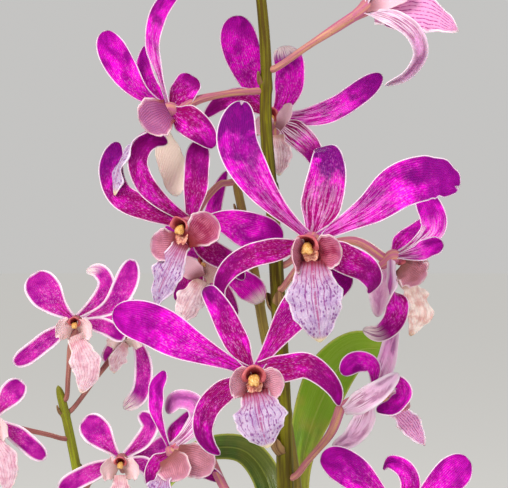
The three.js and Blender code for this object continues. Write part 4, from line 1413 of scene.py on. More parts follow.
@dataclass(frozen=True)
class Bloom:
    """One flower, measured from its throat in the plant's own axes."""

    name: str
    at: Point
    stalk: Stalk
    facing: Point = FRONT
    petal_left: Part = Part(((-3, 0, 1.5), (-12, -1, 9), (-22, -1, 17), (-31, 0, 23), (-37, 2, 26)), 12)
    petal_right: Part = Part(((3, 0, 1.5), (12, -1, 9), (22, -1, 17), (31, 0, 23), (37, 2, 26)), 12)
    dorsal: Part = Part(((0, 0, 3), (0, -0.5, 12), (0, 0, 21), (0, 3, 29), (0, 8, 33)), 9)
    sepal_left: Part = Part(((-3, 0, -2), (-10, 0, -7), (-16, 0, -14), (-18, 2, -22), (-15, 4, -29)), 8.5)
    sepal_right: Part = Part(((3, 0, -2), (10, 0, -7), (16, 0, -14), (18, 2, -22), (15, 4, -29)), 8.5)
    lip: Part = Part(((0, -4.5, -5.5), (0, -9, -10), (0, -10.5, -17), (0, -9, -23), (0, -7, -28)), 15)
    lobe_left: Part = Part(((-1.4, 0.6, 1), (-4.6, -1.4, 2.8), (-7.2, -3.6, 4.2)), 9.5, face=(0.55, -1, 0))
    lobe_right: Part = Part(((1.4, 0.6, 1), (4.6, -1.4, 2.8), (7.2, -3.6, 4.2)), 9.5, face=(-0.55, -1, 0))
    column: Point = (0, -8, 0)
    spur: Point = (0, 5, -6)
    cap_drop: float = 0.9
    girth: float = 1.0
    ledge_from: float = 0.8

    @property
    def node(self) -> str:
        """The name of its solid."""
        return f"bloom_{self.name}"

    @property
    def seed(self) -> int:
        """A number of its own, for its small irregularities."""
        return sum(map(ord, self.node)) % 97

    @property
    def far(self) -> bool:
        """Whether it grows on the far spray."""
        return self.stalk.spray == "far"

    @property
    def axes(self) -> tuple[Array, Array, Array]:
        """The column's own directions.

        Returns:
            The way it points, the way up from it and the way to its side.
        """
        ahead = unit(np.array(self.column, float))
        lift = unit(np.array((0, 0, 1.0)) - ahead * ahead[2])
        return ahead, lift, np.cross(ahead, lift)

    def build(self, spray: Spray) -> None:
        """Builds the flower's tepals, stem, column and lip.

        Args:
            spray: the spray it grows from.
        """
        self._tepals()
        self._stem(spray)
        self._column()
        self._lip()

    @staticmethod
    def _rooted(part: Part) -> Part:
        """A tepal with its root sunk in the throat, unless it starts well outside it.

        Args:
            part: the tepal.

        Returns:
            The tepal with its first point moved.
        """
        root, near, depth = np.array(part.path[0]), 6, THROAT_RADIUS * 0.45
        if np.linalg.norm(root) < near:
            root = root * (depth / np.linalg.norm(root))
        return replace(part, path=(tuple(root), *part.path[1:]))

    def _tepals(self) -> None:
        """Builds the two petals and three sepals."""
        stock = Stock()
        petal, sepal = Relief(groove=0.3, ripple=0.4), Relief(groove=0.22, ripple=0.25, ripples=2.0)
        parts = (self.petal_left, self.petal_right, self.dorsal, self.sepal_left, self.sepal_right)
        for k, part in enumerate(parts):
            outline, relief = (SEPAL, sepal) if k > 1 else (PETAL, petal)
            if k > 2:
                part = replace(part, warm=max(part.warm, 0.85))
            if self.far:
                part = replace(part, outline=part.outline or (STRAP if k > 1 else None), warm=0.0, cloud=0.3)
            blade = Blade(self._rooted(part), outline, relief, self.facing)
            blade.skin(stock, 0, self.seed + 7 * k, self.at, rows=44, columns=17)
        look = Look.FAR_PETAL if self.far else Look.PETAL
        place(stock.piece(f"{self.name}_tepals", look), Slot.PETAL, self.node)

    def _stem(self, spray: Spray) -> None:
        """Builds the stalk with its swollen end, and the spur and throat.

        Args:
            spray: the spray it grows from.
        """
        at, spur, first = (np.array(p) for p in (self.at, self.spur, self.stalk.via[0]))
        stop = spray.stop_at(self.stalk.height)
        middle = spray.curve.spot(stop)
        out = unit(square_to(first - middle, spray.curve.way(stop)))
        radius = spray.radius_at(stop)
        leave = middle + out * radius
        lead = first - leave
        end = at + spur * (0.95 if self.stalk.at_spur else 0.35)
        points = [middle + out * radius * 0.3, leave + lead * (1.8 / np.linalg.norm(lead))]
        steps = np.linspace(0, 1, 40)
        girths = profile(steps, (0, 1.25), (0.08, 1.0), (0.5, 1.05), (0.75, 1.45), (1, 1.6))
        limbs = Limbs()
        flush = flushed(0.25 + 0.6 * smooth(steps, 0.3, 1))
        limbs.add(Path([*points, *self.stalk.via, end]), steps, girths, flush)
        throat = Path([at + spur, at + spur * 0.5, at, at + np.array(self.column) * 0.35])
        girths = profile(steps, (0, 1.0), (0.2, 1.5), (0.5, 2.0), (0.75, 2.5), (1, 2.0))
        limbs.add(throat, steps, girths, (0, 0.95, 0))
        look = Look.FAR_STALK if self.far else Look.STALK
        place(limbs.piece(f"{self.name}_stalk", look), Slot.PETAL, self.node)

    def _column(self) -> None:
        """Builds the hollow column, the cap in the hollow and, on a large flower, the ledge below it."""
        stock = Stock()
        self._hood(stock)
        self._cap(stock)
        if self.girth >= self.ledge_from:
            self._ledge(stock)
        place(stock.piece(f"{self.name}_column", Look.COLUMN, Look.CAP), Slot.LIP, self.node)

    def _hood(self, stock: Stock) -> None:
        """Adds the column's hollow body with its uneven rim.

        Args:
            stock: the piece's skins.
        """
        _, lift, side = self.axes
        angle = ring_angles(COLUMN_SIDES)
        high, wide = np.cos(angle), np.sin(angle)
        reach, girth, run = (k[:, None] for k in np.array(COLUMN_KNOTS).T)
        girth = girth * self.girth
        rim = smooth(run, 0.28, 0.46) * smooth(run, 0.72, 0.5)
        edge = 0.18 * np.clip(high, 0, 1) ** 2 - 0.5 * np.clip(-high, 0, 1) ** 1.5
        edge = edge + 0.07 * np.cos(3 * angle + self.seed)
        middle = np.array(self.at) + ((reach + rim * edge) * 0.95)[..., None] * np.array(self.column, float)
        girth = girth * (1 + 0.05 * np.sin(2 * angle + self.seed) * rim)
        rings = middle + lift * (girth * high * 0.86)[..., None]
        rings = rings + side * (girth * wide * (1.02 - 0.14 * high))[..., None]
        lay, grain = grid(girth.shape, run, high, 1), grid(girth.shape, angle * 2.2, run * 12, self.seed)
        loft(stock, rings, 0, lay, grain)

    def _cap(self, stock: Stock) -> None:
        """Adds the cap in the hollow, with the cleft in its lower edge.

        Args:
            stock: the piece's skins.
        """
        ahead, lift, side = self.axes
        angle = ring_angles(COLUMN_SIDES)
        high, wide = np.cos(angle), np.sin(angle)
        v = np.linspace(0, 1, 16)[:, None]
        size = np.sqrt(np.clip(1 - (2 * v - 1) ** 2, 0.004, 1)) * self.girth
        cleft = 1 - 0.26 * np.exp(-((wide / 0.3) ** 2)) * (high < 0)
        cleft = cleft + 0.07 * np.cos(3 * angle + 0.6 + self.seed)
        cleft = cleft * (np.abs(high * wide) ** 0.5 * 0.22 + 0.92)
        middle = np.array(self.at) + np.array(self.column, float) * 0.62 - lift * self.cap_drop
        middle = middle + np.outer((v - 0.2) * 3.8, ahead)
        rings = middle[:, None] + lift * (size * high * (1.85 - 0.4 * v) * cleft)[..., None]
        rings = rings + side * (size * wide * (1.55 - 0.2 * high) * cleft)[..., None]
        rings = rings - lift * (v[..., None] * 1.1)
        shape = (len(v), COLUMN_SIDES)
        loft(stock, rings, 1, grid(shape, v, high, 1), grid(shape, angle * 2, v * 4, self.seed + 5))

    def _ledge(self, stock: Stock) -> None:
        """Adds the ledge from the hollow to the lip's neck.

        Args:
            stock: the piece's skins.
        """
        tip = np.array(self.column, float)
        neck, below = (np.array(p) for p in self.lip.path[:2])
        steps = (tip * 0.35 + neck * 0.25, neck * 0.8 + tip * 0.2, neck + (below - neck) * 0.14)
        relief = Relief(cup=0.5, ripple=0.3, thick=0.9)
        ledge = Part(tuple(map(tuple, steps)), 4.4 * self.girth, warm=1)
        Blade(ledge, LOBE, relief, self.facing).skin(stock, 1, self.seed + 9, self.at, rows=18, columns=13)

    def _lip(self) -> None:
        """Builds the lip's waved middle lobe and its two side lobes."""
        stock = Stock()
        middle = Relief(cup=-0.12, groove=0.35, ripple=0.8, ripples=3.0, frill=0.045, frills=4.0, thick=0.5)
        Blade(self.lip, LIP, middle, self.facing).skin(stock, 0, self.seed + 40, self.at, rows=48, columns=21)
        root = tuple(np.array(self.at) + np.array(self.lip.path[0]))
        side = Relief(cup=0.3, groove=0.05, ripple=0.3, ripples=2.0, frill=0.03, frills=4.0, thick=0.45)
        for k, part in enumerate((self.lobe_left, self.lobe_right)):
            if self.far:
                frilled = replace(side, ripple=0.9, frill=0.1)
                part = replace(part, pallor=0.75, warm=max(part.warm, 0.25), relief=frilled)
            Blade(part, LOBE, side, self.facing).skin(stock, 1, self.seed + 50 + k, root, rows=26, columns=17)
        place(stock.piece(f"{self.name}_lip", Look.LIP, Look.LOBE), Slot.LIP, f"{self.node}_lip")


@dataclass(frozen=True)
class Leaf:
    """One leaf: where it leaves its cane, and either its heading, length and rise or its own path."""

    at: float
    wide: float
    heading: float = 0.0
    length: float = 0.0
    rise: float = 0.0
    path: tuple[Point, ...] = ()
    face: Point = (0.0, -0.1, 1.0)
    outline: Outline = LEAF
    shade: float = 0.5
    yellow: float = 0.2

    def steps(self) -> tuple[Point, ...]:
        """Finds the points it follows, from where it leaves its cane.

        Returns:
            Its own path, or an arch by its heading, length and rise.
        """
        if self.path:
            return self.path
        angle = math.radians(self.heading)
        points = []
        for share in (0, 0.2, 0.45, 0.72, 1):
            out = self.length * share * (0.92 - 0.1 * share)
            rise = self.length * (self.rise * share - (self.rise * 0.62 + 0.2) * share**2)
            points.append((out * math.cos(angle), out * math.sin(angle), rise))
        return tuple(points)


@dataclass(frozen=True)
class Cane:
    """One jointed cane with its leaves."""

    name: str
    path: tuple[Point, ...]
    thick: float
    leaves: tuple[Leaf, ...]
    joints: int = 9
    rings: int = 260
    sheathed: float = 0.62

    def build(self) -> None:
        """Builds the cane, the sheaths on it and its leaves."""
        curve = Path(self.path)
        stops = np.linspace(0, 1, self.rings)
        girths = self.thick * (0.42 + 0.58 * np.sin(math.pi * np.minimum(1, 0.25 + stops * 0.72)))
        within = (stops * self.joints) % 1
        ring = np.exp(-(((within - 0.5) / 0.035) ** 2))
        ribs = 1 + 0.05 * ring - 0.05 * np.exp(-(((within - 0.58) / 0.05) ** 2))
        closing = np.sqrt(np.clip(1 - (1 - np.clip((1 - stops) / 0.012, 0, 1)) ** 2, 0.01, 1))
        which = np.floor(stops * self.joints + 0.5)
        papery = (which < self.joints * self.sheathed) * smooth(np.abs(within - 0.5), 0.0, 0.02)
        papery = papery * (0.45 + 0.5 * np.abs(np.sin(which * 2.1)))
        limbs, stock = Limbs(), Stock()
        limbs.add(curve, stops, girths * ribs * closing, np.column_stack([papery, 0.12 * ring, 0 * stops]))
        relief = Relief(cup=0.3, groove=0.9, ripple=0.5, ripples=2.0, thick=0.9)
        for k, leaf in enumerate(self.leaves):
            # A leaf's painted shade rides in the part's cloud tint, and its yellowing in the pallor.
            part = Part(leaf.steps(), leaf.wide, face=leaf.face, cloud=leaf.shade, pallor=leaf.yellow)
            blade = Blade(part, leaf.outline, relief, leaf.face, steady=True)
            foot = tuple(curve.spot(leaf.at))
            blade.skin(stock, 0, 11 * k + len(self.name), foot, rows=60, columns=19)
            self._sheath(limbs, curve, leaf, float(np.interp(leaf.at, stops, girths)))
        node = f"cane_{self.name}"
        place(limbs.piece(f"{self.name}_cane", Look.CANE, facets=20), Slot.LEAFY_STEM, node)
        place(stock.piece(f"{self.name}_leaves", Look.LEAF), Slot.LEAFY_STEM, node)

    @staticmethod
    def _sheath(limbs: Limbs, curve: Path, leaf: Leaf, girth: float) -> None:
        """Wraps the foot of a leaf round its cane.

        Args:
            limbs: the cane's stems.
            curve: the cane's line.
            leaf: the leaf.
            girth: the cane's radius there.
        """
        steps = np.linspace(0, 1, 16)
        low, high = max(leaf.at - 0.07, 0.02), min(leaf.at + 0.012, 1)
        girths = profile(steps, (0, girth * 0.98), (0.3, girth + 0.5), (1, girth + 0.7))
        limbs.add(Path(curve.at(np.linspace(low, high, 6))), steps, girths, (0.15, 0.1, 0))


def turned(name: str, line: Sequence[tuple[float, float]], sides: int) -> Thing:
    """Turns a closed body from a line that starts and ends on the axis.

    Args:
        name: what it is called.
        line: radius and height, in millimetres.
        sides: facets round it.

    Returns:
        The object.
    """
    angle = ring_angles(sides)
    rings = [(r * np.cos(angle), r * np.sin(angle), np.full(sides, z)) for r, z in line[1:-1]]
    spots = [*(np.column_stack(ring) for ring in rings), [(0, 0, line[0][1]), (0, 0, line[-1][1])]]
    spots = np.vstack(spots) * MM
    faces: list[tuple[int, ...]] = []
    last, foot, head = len(rings) - 1, len(spots) - 2, len(spots) - 1
    for j in range(sides):
        k = (j + 1) % sides
        faces += [(foot, k, j), (last * sides + j, last * sides + k, head)]
        rows = [(i * sides, (i + 1) * sides) for i in range(last)]
        faces += [(low + j, low + k, high + k, high + j) for low, high in rows]
    mesh = bpy.data.meshes.new(name)
    mesh.from_pydata(spots.tolist(), [], faces)
    mesh.polygons.foreach_set("use_smooth", [True] * len(faces))
    mesh.update()
    turn_outward(mesh)
    return link(name, mesh)


@dataclass(frozen=True)
class Pot:
    """The plain clay pot with its collar and drain holes."""

    height: float = 130
    rim_radius: float = 75
    base_radius: float = 54
    wall: float = 5
    rim_band: float = 20
    rim_proud: float = 3
    floor: float = 6
    holes: int = 5
    hole_radius: float = 5
    hole_ring: float = 34
    sides: int = 128
    hole_sides: int = 32
    overcut: float = 5
    sharp: float = 40

    def wall_radius(self, height: float) -> float:
        """The radius outside at a height in millimetres."""
        radii = [self.base_radius, self.rim_radius - self.rim_proud]
        return float(np.interp(height, [0, self.height], radii))

    def line(self) -> list[tuple[float, float]]:
        """Draws the pot's section, up its outside and down its inside.

        Returns:
            Radius and height of each point.
        """
        top, band, rim = self.height, self.height - self.rim_band, self.rim_radius
        inner = rim - self.rim_proud - self.wall
        line = [(0, 0), (self.base_radius - 2, 0), (self.base_radius - 0.6, 0.5), (self.base_radius, 1.8)]
        line += [(self.wall_radius(z) + 0.12 * math.sin(z * 0.9), z) for z in np.linspace(6, band - 3, 24)]
        line += [(rim - 1.4, band - 0.6), (rim - 0.3, band + 0.8), (rim, band + 2.5)]
        line += [(rim + 0.1 * math.sin(z), z) for z in np.linspace(band + 5, top - 4, 6)]
        line += [(rim - 0.3, top - 1.6), (rim - 1.2, top - 0.4), (rim - 2.6, top)]
        line += [(inner + 1.6, top), (inner + 0.4, top - 0.5), (inner, top - 1.8)]
        line += [(self.wall_radius(z) - self.wall, z) for z in np.linspace(top - 8, self.floor + 3, 10)]
        return [*line, (self.wall_radius(self.floor) - self.wall - 2.5, self.floor), (0, self.floor)]

    def build(self) -> None:
        """Turns the pot and drills its drain holes."""
        body = turned("pot_body", self.line(), self.sides)
        low, high = -self.overcut, self.floor + self.overcut
        drills = []
        for angle in (2 * math.pi * k / self.holes for k in range(self.holes)):
            bit = [(0, low), (self.hole_radius, low), (self.hole_radius, high), (0, high)]
            drill = turned("drill", bit, self.hole_sides)
            shift = (self.hole_ring * math.cos(angle) * MM, self.hole_ring * math.sin(angle) * MM, 0)
            move_points(drill.data, np.array([v.co for v in drill.data.vertices]) + shift)
            cut = body.modifiers.new("hole", "BOOLEAN")
            cut.operation, cut.object, cut.solver = "DIFFERENCE", drill, "EXACT"
            drills.append(drill)
        mesh = applied(body)
        for drill in drills:
            bpy.data.objects.remove(drill)
        mesh.materials.clear()
        mesh.materials.append(Look.CLAY.material)
        mesh.set_sharp_from_angle(angle=math.radians(self.sharp))
        place(body, Slot.POT, "pot")


@dataclass(frozen=True)
class BarkMix:
    """The bark that fills the pot, with loose chips scattered over it."""

    pot: Pot
    top: float = 116
    crown: float = 1.7
    clearance: float = 0.4
    chip: Point = (17, 11, 6)
    kinds: int = 6
    spacing: float = 7.5
    density: float = 60000.0
    seed: int = 12

    def build(self) -> None:
        """Builds the fill and scatters the chips on it."""
        floor = self.pot.floor + self.clearance
        reach = self.pot.wall_radius(self.top) - self.pot.wall - self.clearance
        foot = self.pot.wall_radius(self.pot.floor) - self.pot.wall - self.clearance
        line = [(0, floor), (foot, floor), (reach - 0.6, self.top - 6)]
        shares = (0.97, 0.9, 0.8, 0.7, 0.6, 0.5, 0.4, 0.3, 0.2, 0.1)
        line += [(reach * k, self.top + 1.2 * (1 - k * k) * 1.4) for k in shares]
        fill = turned("bark_chips", [*line, (0, self.top + self.crown)], 64)
        rng = np.random.default_rng(self.seed)
        spots = np.array([v.co for v in fill.data.vertices])
        upper = spots[:, 2] > (self.top - 1) * MM
        spots[upper, 2] += rng.uniform(-1.4, 1.0, int(upper.sum())) * MM
        move_points(fill.data, spots)
        bed = fill.data.attributes.new("bed", "FLOAT", "POINT")
        bed.data.foreach_set("value", upper.astype(np.float32))
        chips = bpy.data.collections.new("chips")
        for k in range(self.kinds):
            chips.objects.link(bpy.data.objects.new(f"chip_{k}", self._chip(k)))
        sizes = {"Chips": chips, "Spacing": self.spacing * MM, "Density": self.density, "Seed": self.seed}
        self._tree().run(fill, **sizes, Finish=Look.BARK.material)
        for chip in list(chips.objects):
            bpy.data.objects.remove(chip)
        bpy.data.collections.remove(chips)
        place(fill, Slot.BARK, "bark_mix")

    def _chip(self, seed: int) -> Mesh:
        """Makes one rough chip.

        Args:
            seed: picks its shape.

        Returns:
            Its mesh.
        """
        rng = np.random.default_rng(seed + 30)
        count, size = 5, 8
        angle = ring_angles(size) + 0.3
        box = 1 / np.maximum(np.abs(np.cos(angle)), np.abs(np.sin(angle)))
        spots = []
        for x in np.linspace(-1, 1, count):
            ring = box * (1 - 0.28 * x**4) * rng.uniform(0.82, 1.1, size)
            shift = x + rng.uniform(-0.12, 0.12, size)
            spots.append(np.column_stack([shift, ring * np.cos(angle), ring * np.sin(angle)]))
        mesh = bpy.data.meshes.new(f"chip_{seed}")
        points = np.vstack(spots) * np.array(self.chip) / 2 * MM
        mesh.from_pydata(points.tolist(), [], closed_faces(count, size))
        mesh.update()
        turn_outward(mesh)
        return mesh

    def _tree(self) -> Tree:
        """The tree that scatters chips over the bed.

        Returns:
            The tree.
        """
        sizes = {"Chips": ("Collection", None), "Spacing": ("Float", 0.008), "Density": ("Float", 1.0)}
        tree = Tree("scattered chips", {**sizes, "Seed": ("Int", 1), "Finish": ("Material", None)})
        fill = tree.given["Geometry"]
        bed = tree.node("FunctionNodeCompare", {0: tree.named("bed"), 1: 0.9}, operation="GREATER_THAN")
        inputs = {"Mesh": fill, "Selection": bed, "Distance Min": tree.given["Spacing"]}
        inputs |= {"Density Max": tree.given["Density"], "Seed": tree.given["Seed"]}
        points = tree.node("DistributePointsOnFaces", inputs, distribute_method="POISSON")
        inputs = {"Collection": tree.given["Chips"], "Separate Children": True, "Reset Children": True}
        kinds = tree.node("CollectionInfo", inputs)
        turn = tree.random("FLOAT_VECTOR", (-0.5, -0.5, 0.0), (0.5, 0.5, 6.28), 3)
        pick = tree.random("INT", 0, self.kinds - 1, 7)
        marked = tree.store(points, "tone", tree.random("FLOAT_VECTOR", (0, 0, 0), (1, 1, 1), 9))
        inputs = {"Points": marked, "Instance": kinds, "Pick Instance": True, "Instance Index": pick}
        inputs |= {"Scale": tree.random("FLOAT", 0.55, 1.15, 5)}
        inputs |= {"Rotation": tree.node("FunctionNodeEulerToRotation", {0: turn})}
        scattered = tree.node("InstanceOnPoints", inputs)
        tree.end(tree.node("JoinGeometry", {0: [scattered, fill]}))
        return tree


@dataclass(frozen=True)
class Roots:
    """The rhizome and the roots that lie on the bark."""

    rhizome: tuple[Point, ...]
    strands: tuple[tuple[Point, ...], ...]
    thick: float = 4
    strand_radii: tuple[float, float] = (2.6, 1.7)
    rings: int = 90

    def build(self) -> None:
        """Builds the rhizome with its low rings, and the uneven roots with their green tips."""
        limbs = Limbs()
        stops = np.linspace(0, 1, self.rings)
        rod = profile(stops, (0, self.thick), (1, self.thick)) * (1 + 0.07 * np.sin(stops * 60))
        limbs.add(Path(self.rhizome), stops, rod, (0.8, 0.2, 0))
        plain = profile(stops, (0, self.strand_radii[0]), (1, self.strand_radii[1]))
        tip = flushed(smooth(stops, 0.88, 0.97))
        for k, path in enumerate(self.strands):
            phase = seeded_phases(k, 2)
            waves = 1 + 0.06 * np.sin(stops * 19 + phase[0]) + 0.04 * np.sin(stops * 43 + phase[1])
            limbs.add(Path(path), stops, plain * waves, tip)
        place(limbs.piece("root_strands", Look.ROOT, facets=16), Slot.ROOT, "roots")


SPRAYS = (
    Spray(
        "front",
        (
            (10, 5, 419), (9.5, 3, 447), (8.7, 1, 473), (7.6, 0, 497), (5.6, 0, 530), (3.6, 0, 556),
            (3.6, 0, 574), (2.2, 0, 593), (-2, -3, 622), (-9, -8, 648),
        ),
        (2.9, 1.2), ((0.9, (9, -4, 8), 3.6), (0.95, (-9, -3, 7), 3.1), (1, (-3, -3, 9), 2.6)),
        dry=((457, 215, 1.35), (500, 150, 1.2)),
    ),
    Spray(
        "middle",
        (
            (16, 16, 409), (13.5, 14, 440), (9, 12, 470), (3.8, 11, 490), (0, 9, 512), (-4, 4, 532),
            (-6, 1, 541),
        ),
        (2.1, 1.3), joints=5, look=Look.MIDDLE_SPRAY,
    ),
    Spray(
        "far",
        (
            (-58, 112, 346), (-64, 130, 380), (-70, 145, 415), (-75, 150, 438), (-79, 150, 456),
            (-80.5, 149, 462),
        ),
        (2.5, 1.8), joints=5, look=Look.FAR_SPRAY,
    ),
)

CANES = (
    Cane(
        "front", ((8, -8, 70), (11, -6, 180), (12, 2, 310), (10, 5, 418)), 6.2,
        (
            Leaf(
                0.97, 9.5,
                path=(
                    (0, 3, 0), (-3, 15.5, 24), (-6.8, 25, 38.5), (-13.3, 27, 45.5), (-21.8, 28, 46.5),
                    (-30.3, 29, 43.5), (-38.3, 29, 36), (-43, 28, 27),
                ),
                face=(0, -1, 0.35), shade=0.6,
            ),
            Leaf(0.9, 27, 200, 118, 0.35),
            Leaf(0.78, 28, 10, 122, 0.45, shade=0.6),
        ),
    ),
    Cane(
        "middle", ((30, 8, 70), (31, 14, 190), (24, 18, 310), (16, 16, 408)), 5.6,
        (
            Leaf(
                0.98, 17,
                path=(
                    (0, 3, 0), (-1.5, 14, 40), (-0.8, 16, 50), (1.5, 18, 59), (5.5, 19, 69), (10, 20, 77.5),
                    (17, 20, 84), (27.5, 19, 84.5),
                ),
                face=(-0.4, -1, 0.45), outline=Outline(root=0.34, start=0.38, swell=0.8, tip=0.76, point=1.7),
                shade=0.1, yellow=0.6,
            ),
            Leaf(0.86, 28, 75, 120, 0.5),
        ),
    ),
    Cane(
        "far", ((-24, 20, 70), (-32, 46, 170), (-45, 82, 270), (-58, 112, 345)), 5.6,
        (
            Leaf(0.93, 26, 60, 112, 0.5, shade=0.7),
            Leaf(0.8, 27, 215, 116, 0.5),
            Leaf(0.66, 26, 100, 104, 0.4, yellow=0.5),
        ),
    ),
    Cane(
        "left", ((-20, -18, 70), (-32, -24, 150), (-48, -28, 230), (-62, -26, 292)), 6.6,
        (
            Leaf(0.99, 25, 240, 108, 1.1, shade=0.3),
            Leaf(0.9, 29, 195, 132, 0.6),
            Leaf(0.76, 28, 290, 124, 0.5, shade=0.65),
            Leaf(0.6, 26, 170, 108, 0.35, yellow=0.55),
        ),
    ),
    Cane(
        "right", ((34, -24, 70), (46, -26, 150), (62, -22, 225), (80, -14, 285)), 6.4,
        (
            Leaf(0.99, 26, 20, 112, 1.0, shade=0.3),
            Leaf(0.9, 29, -25, 130, 0.6, shade=0.6),
            Leaf(0.76, 28, 45, 120, 0.5),
            Leaf(0.6, 26, -70, 110, 0.4, yellow=0.5),
        ),
    ),
)

ROOTS = Roots(
    ((-30, 12, 117), (-22, -4, 117), (-4, -15, 117), (16, -16, 117), (28, -8, 117), (36, -2, 117)),
    (
        ((-22, -4, 117), (-36, -8, 119), (-48, -18, 119), (-54, -34, 118)),
        ((-4, -15, 117), (-6, -28, 119), (-16, -42, 119), (-12, -56, 118)),
        ((16, -16, 117), (20, -30, 119), (34, -42, 119), (40, -48, 118)),
        ((28, -8, 117), (40, -6, 119), (50, 4, 119), (58, 18, 118)),
        ((-30, 12, 117), (-40, 22, 119), (-42, 36, 119), (-34, 48, 118)),
        ((36, -2, 117), (38, 20, 119), (26, 38, 119), (22, 54, 118)),
    ),
)

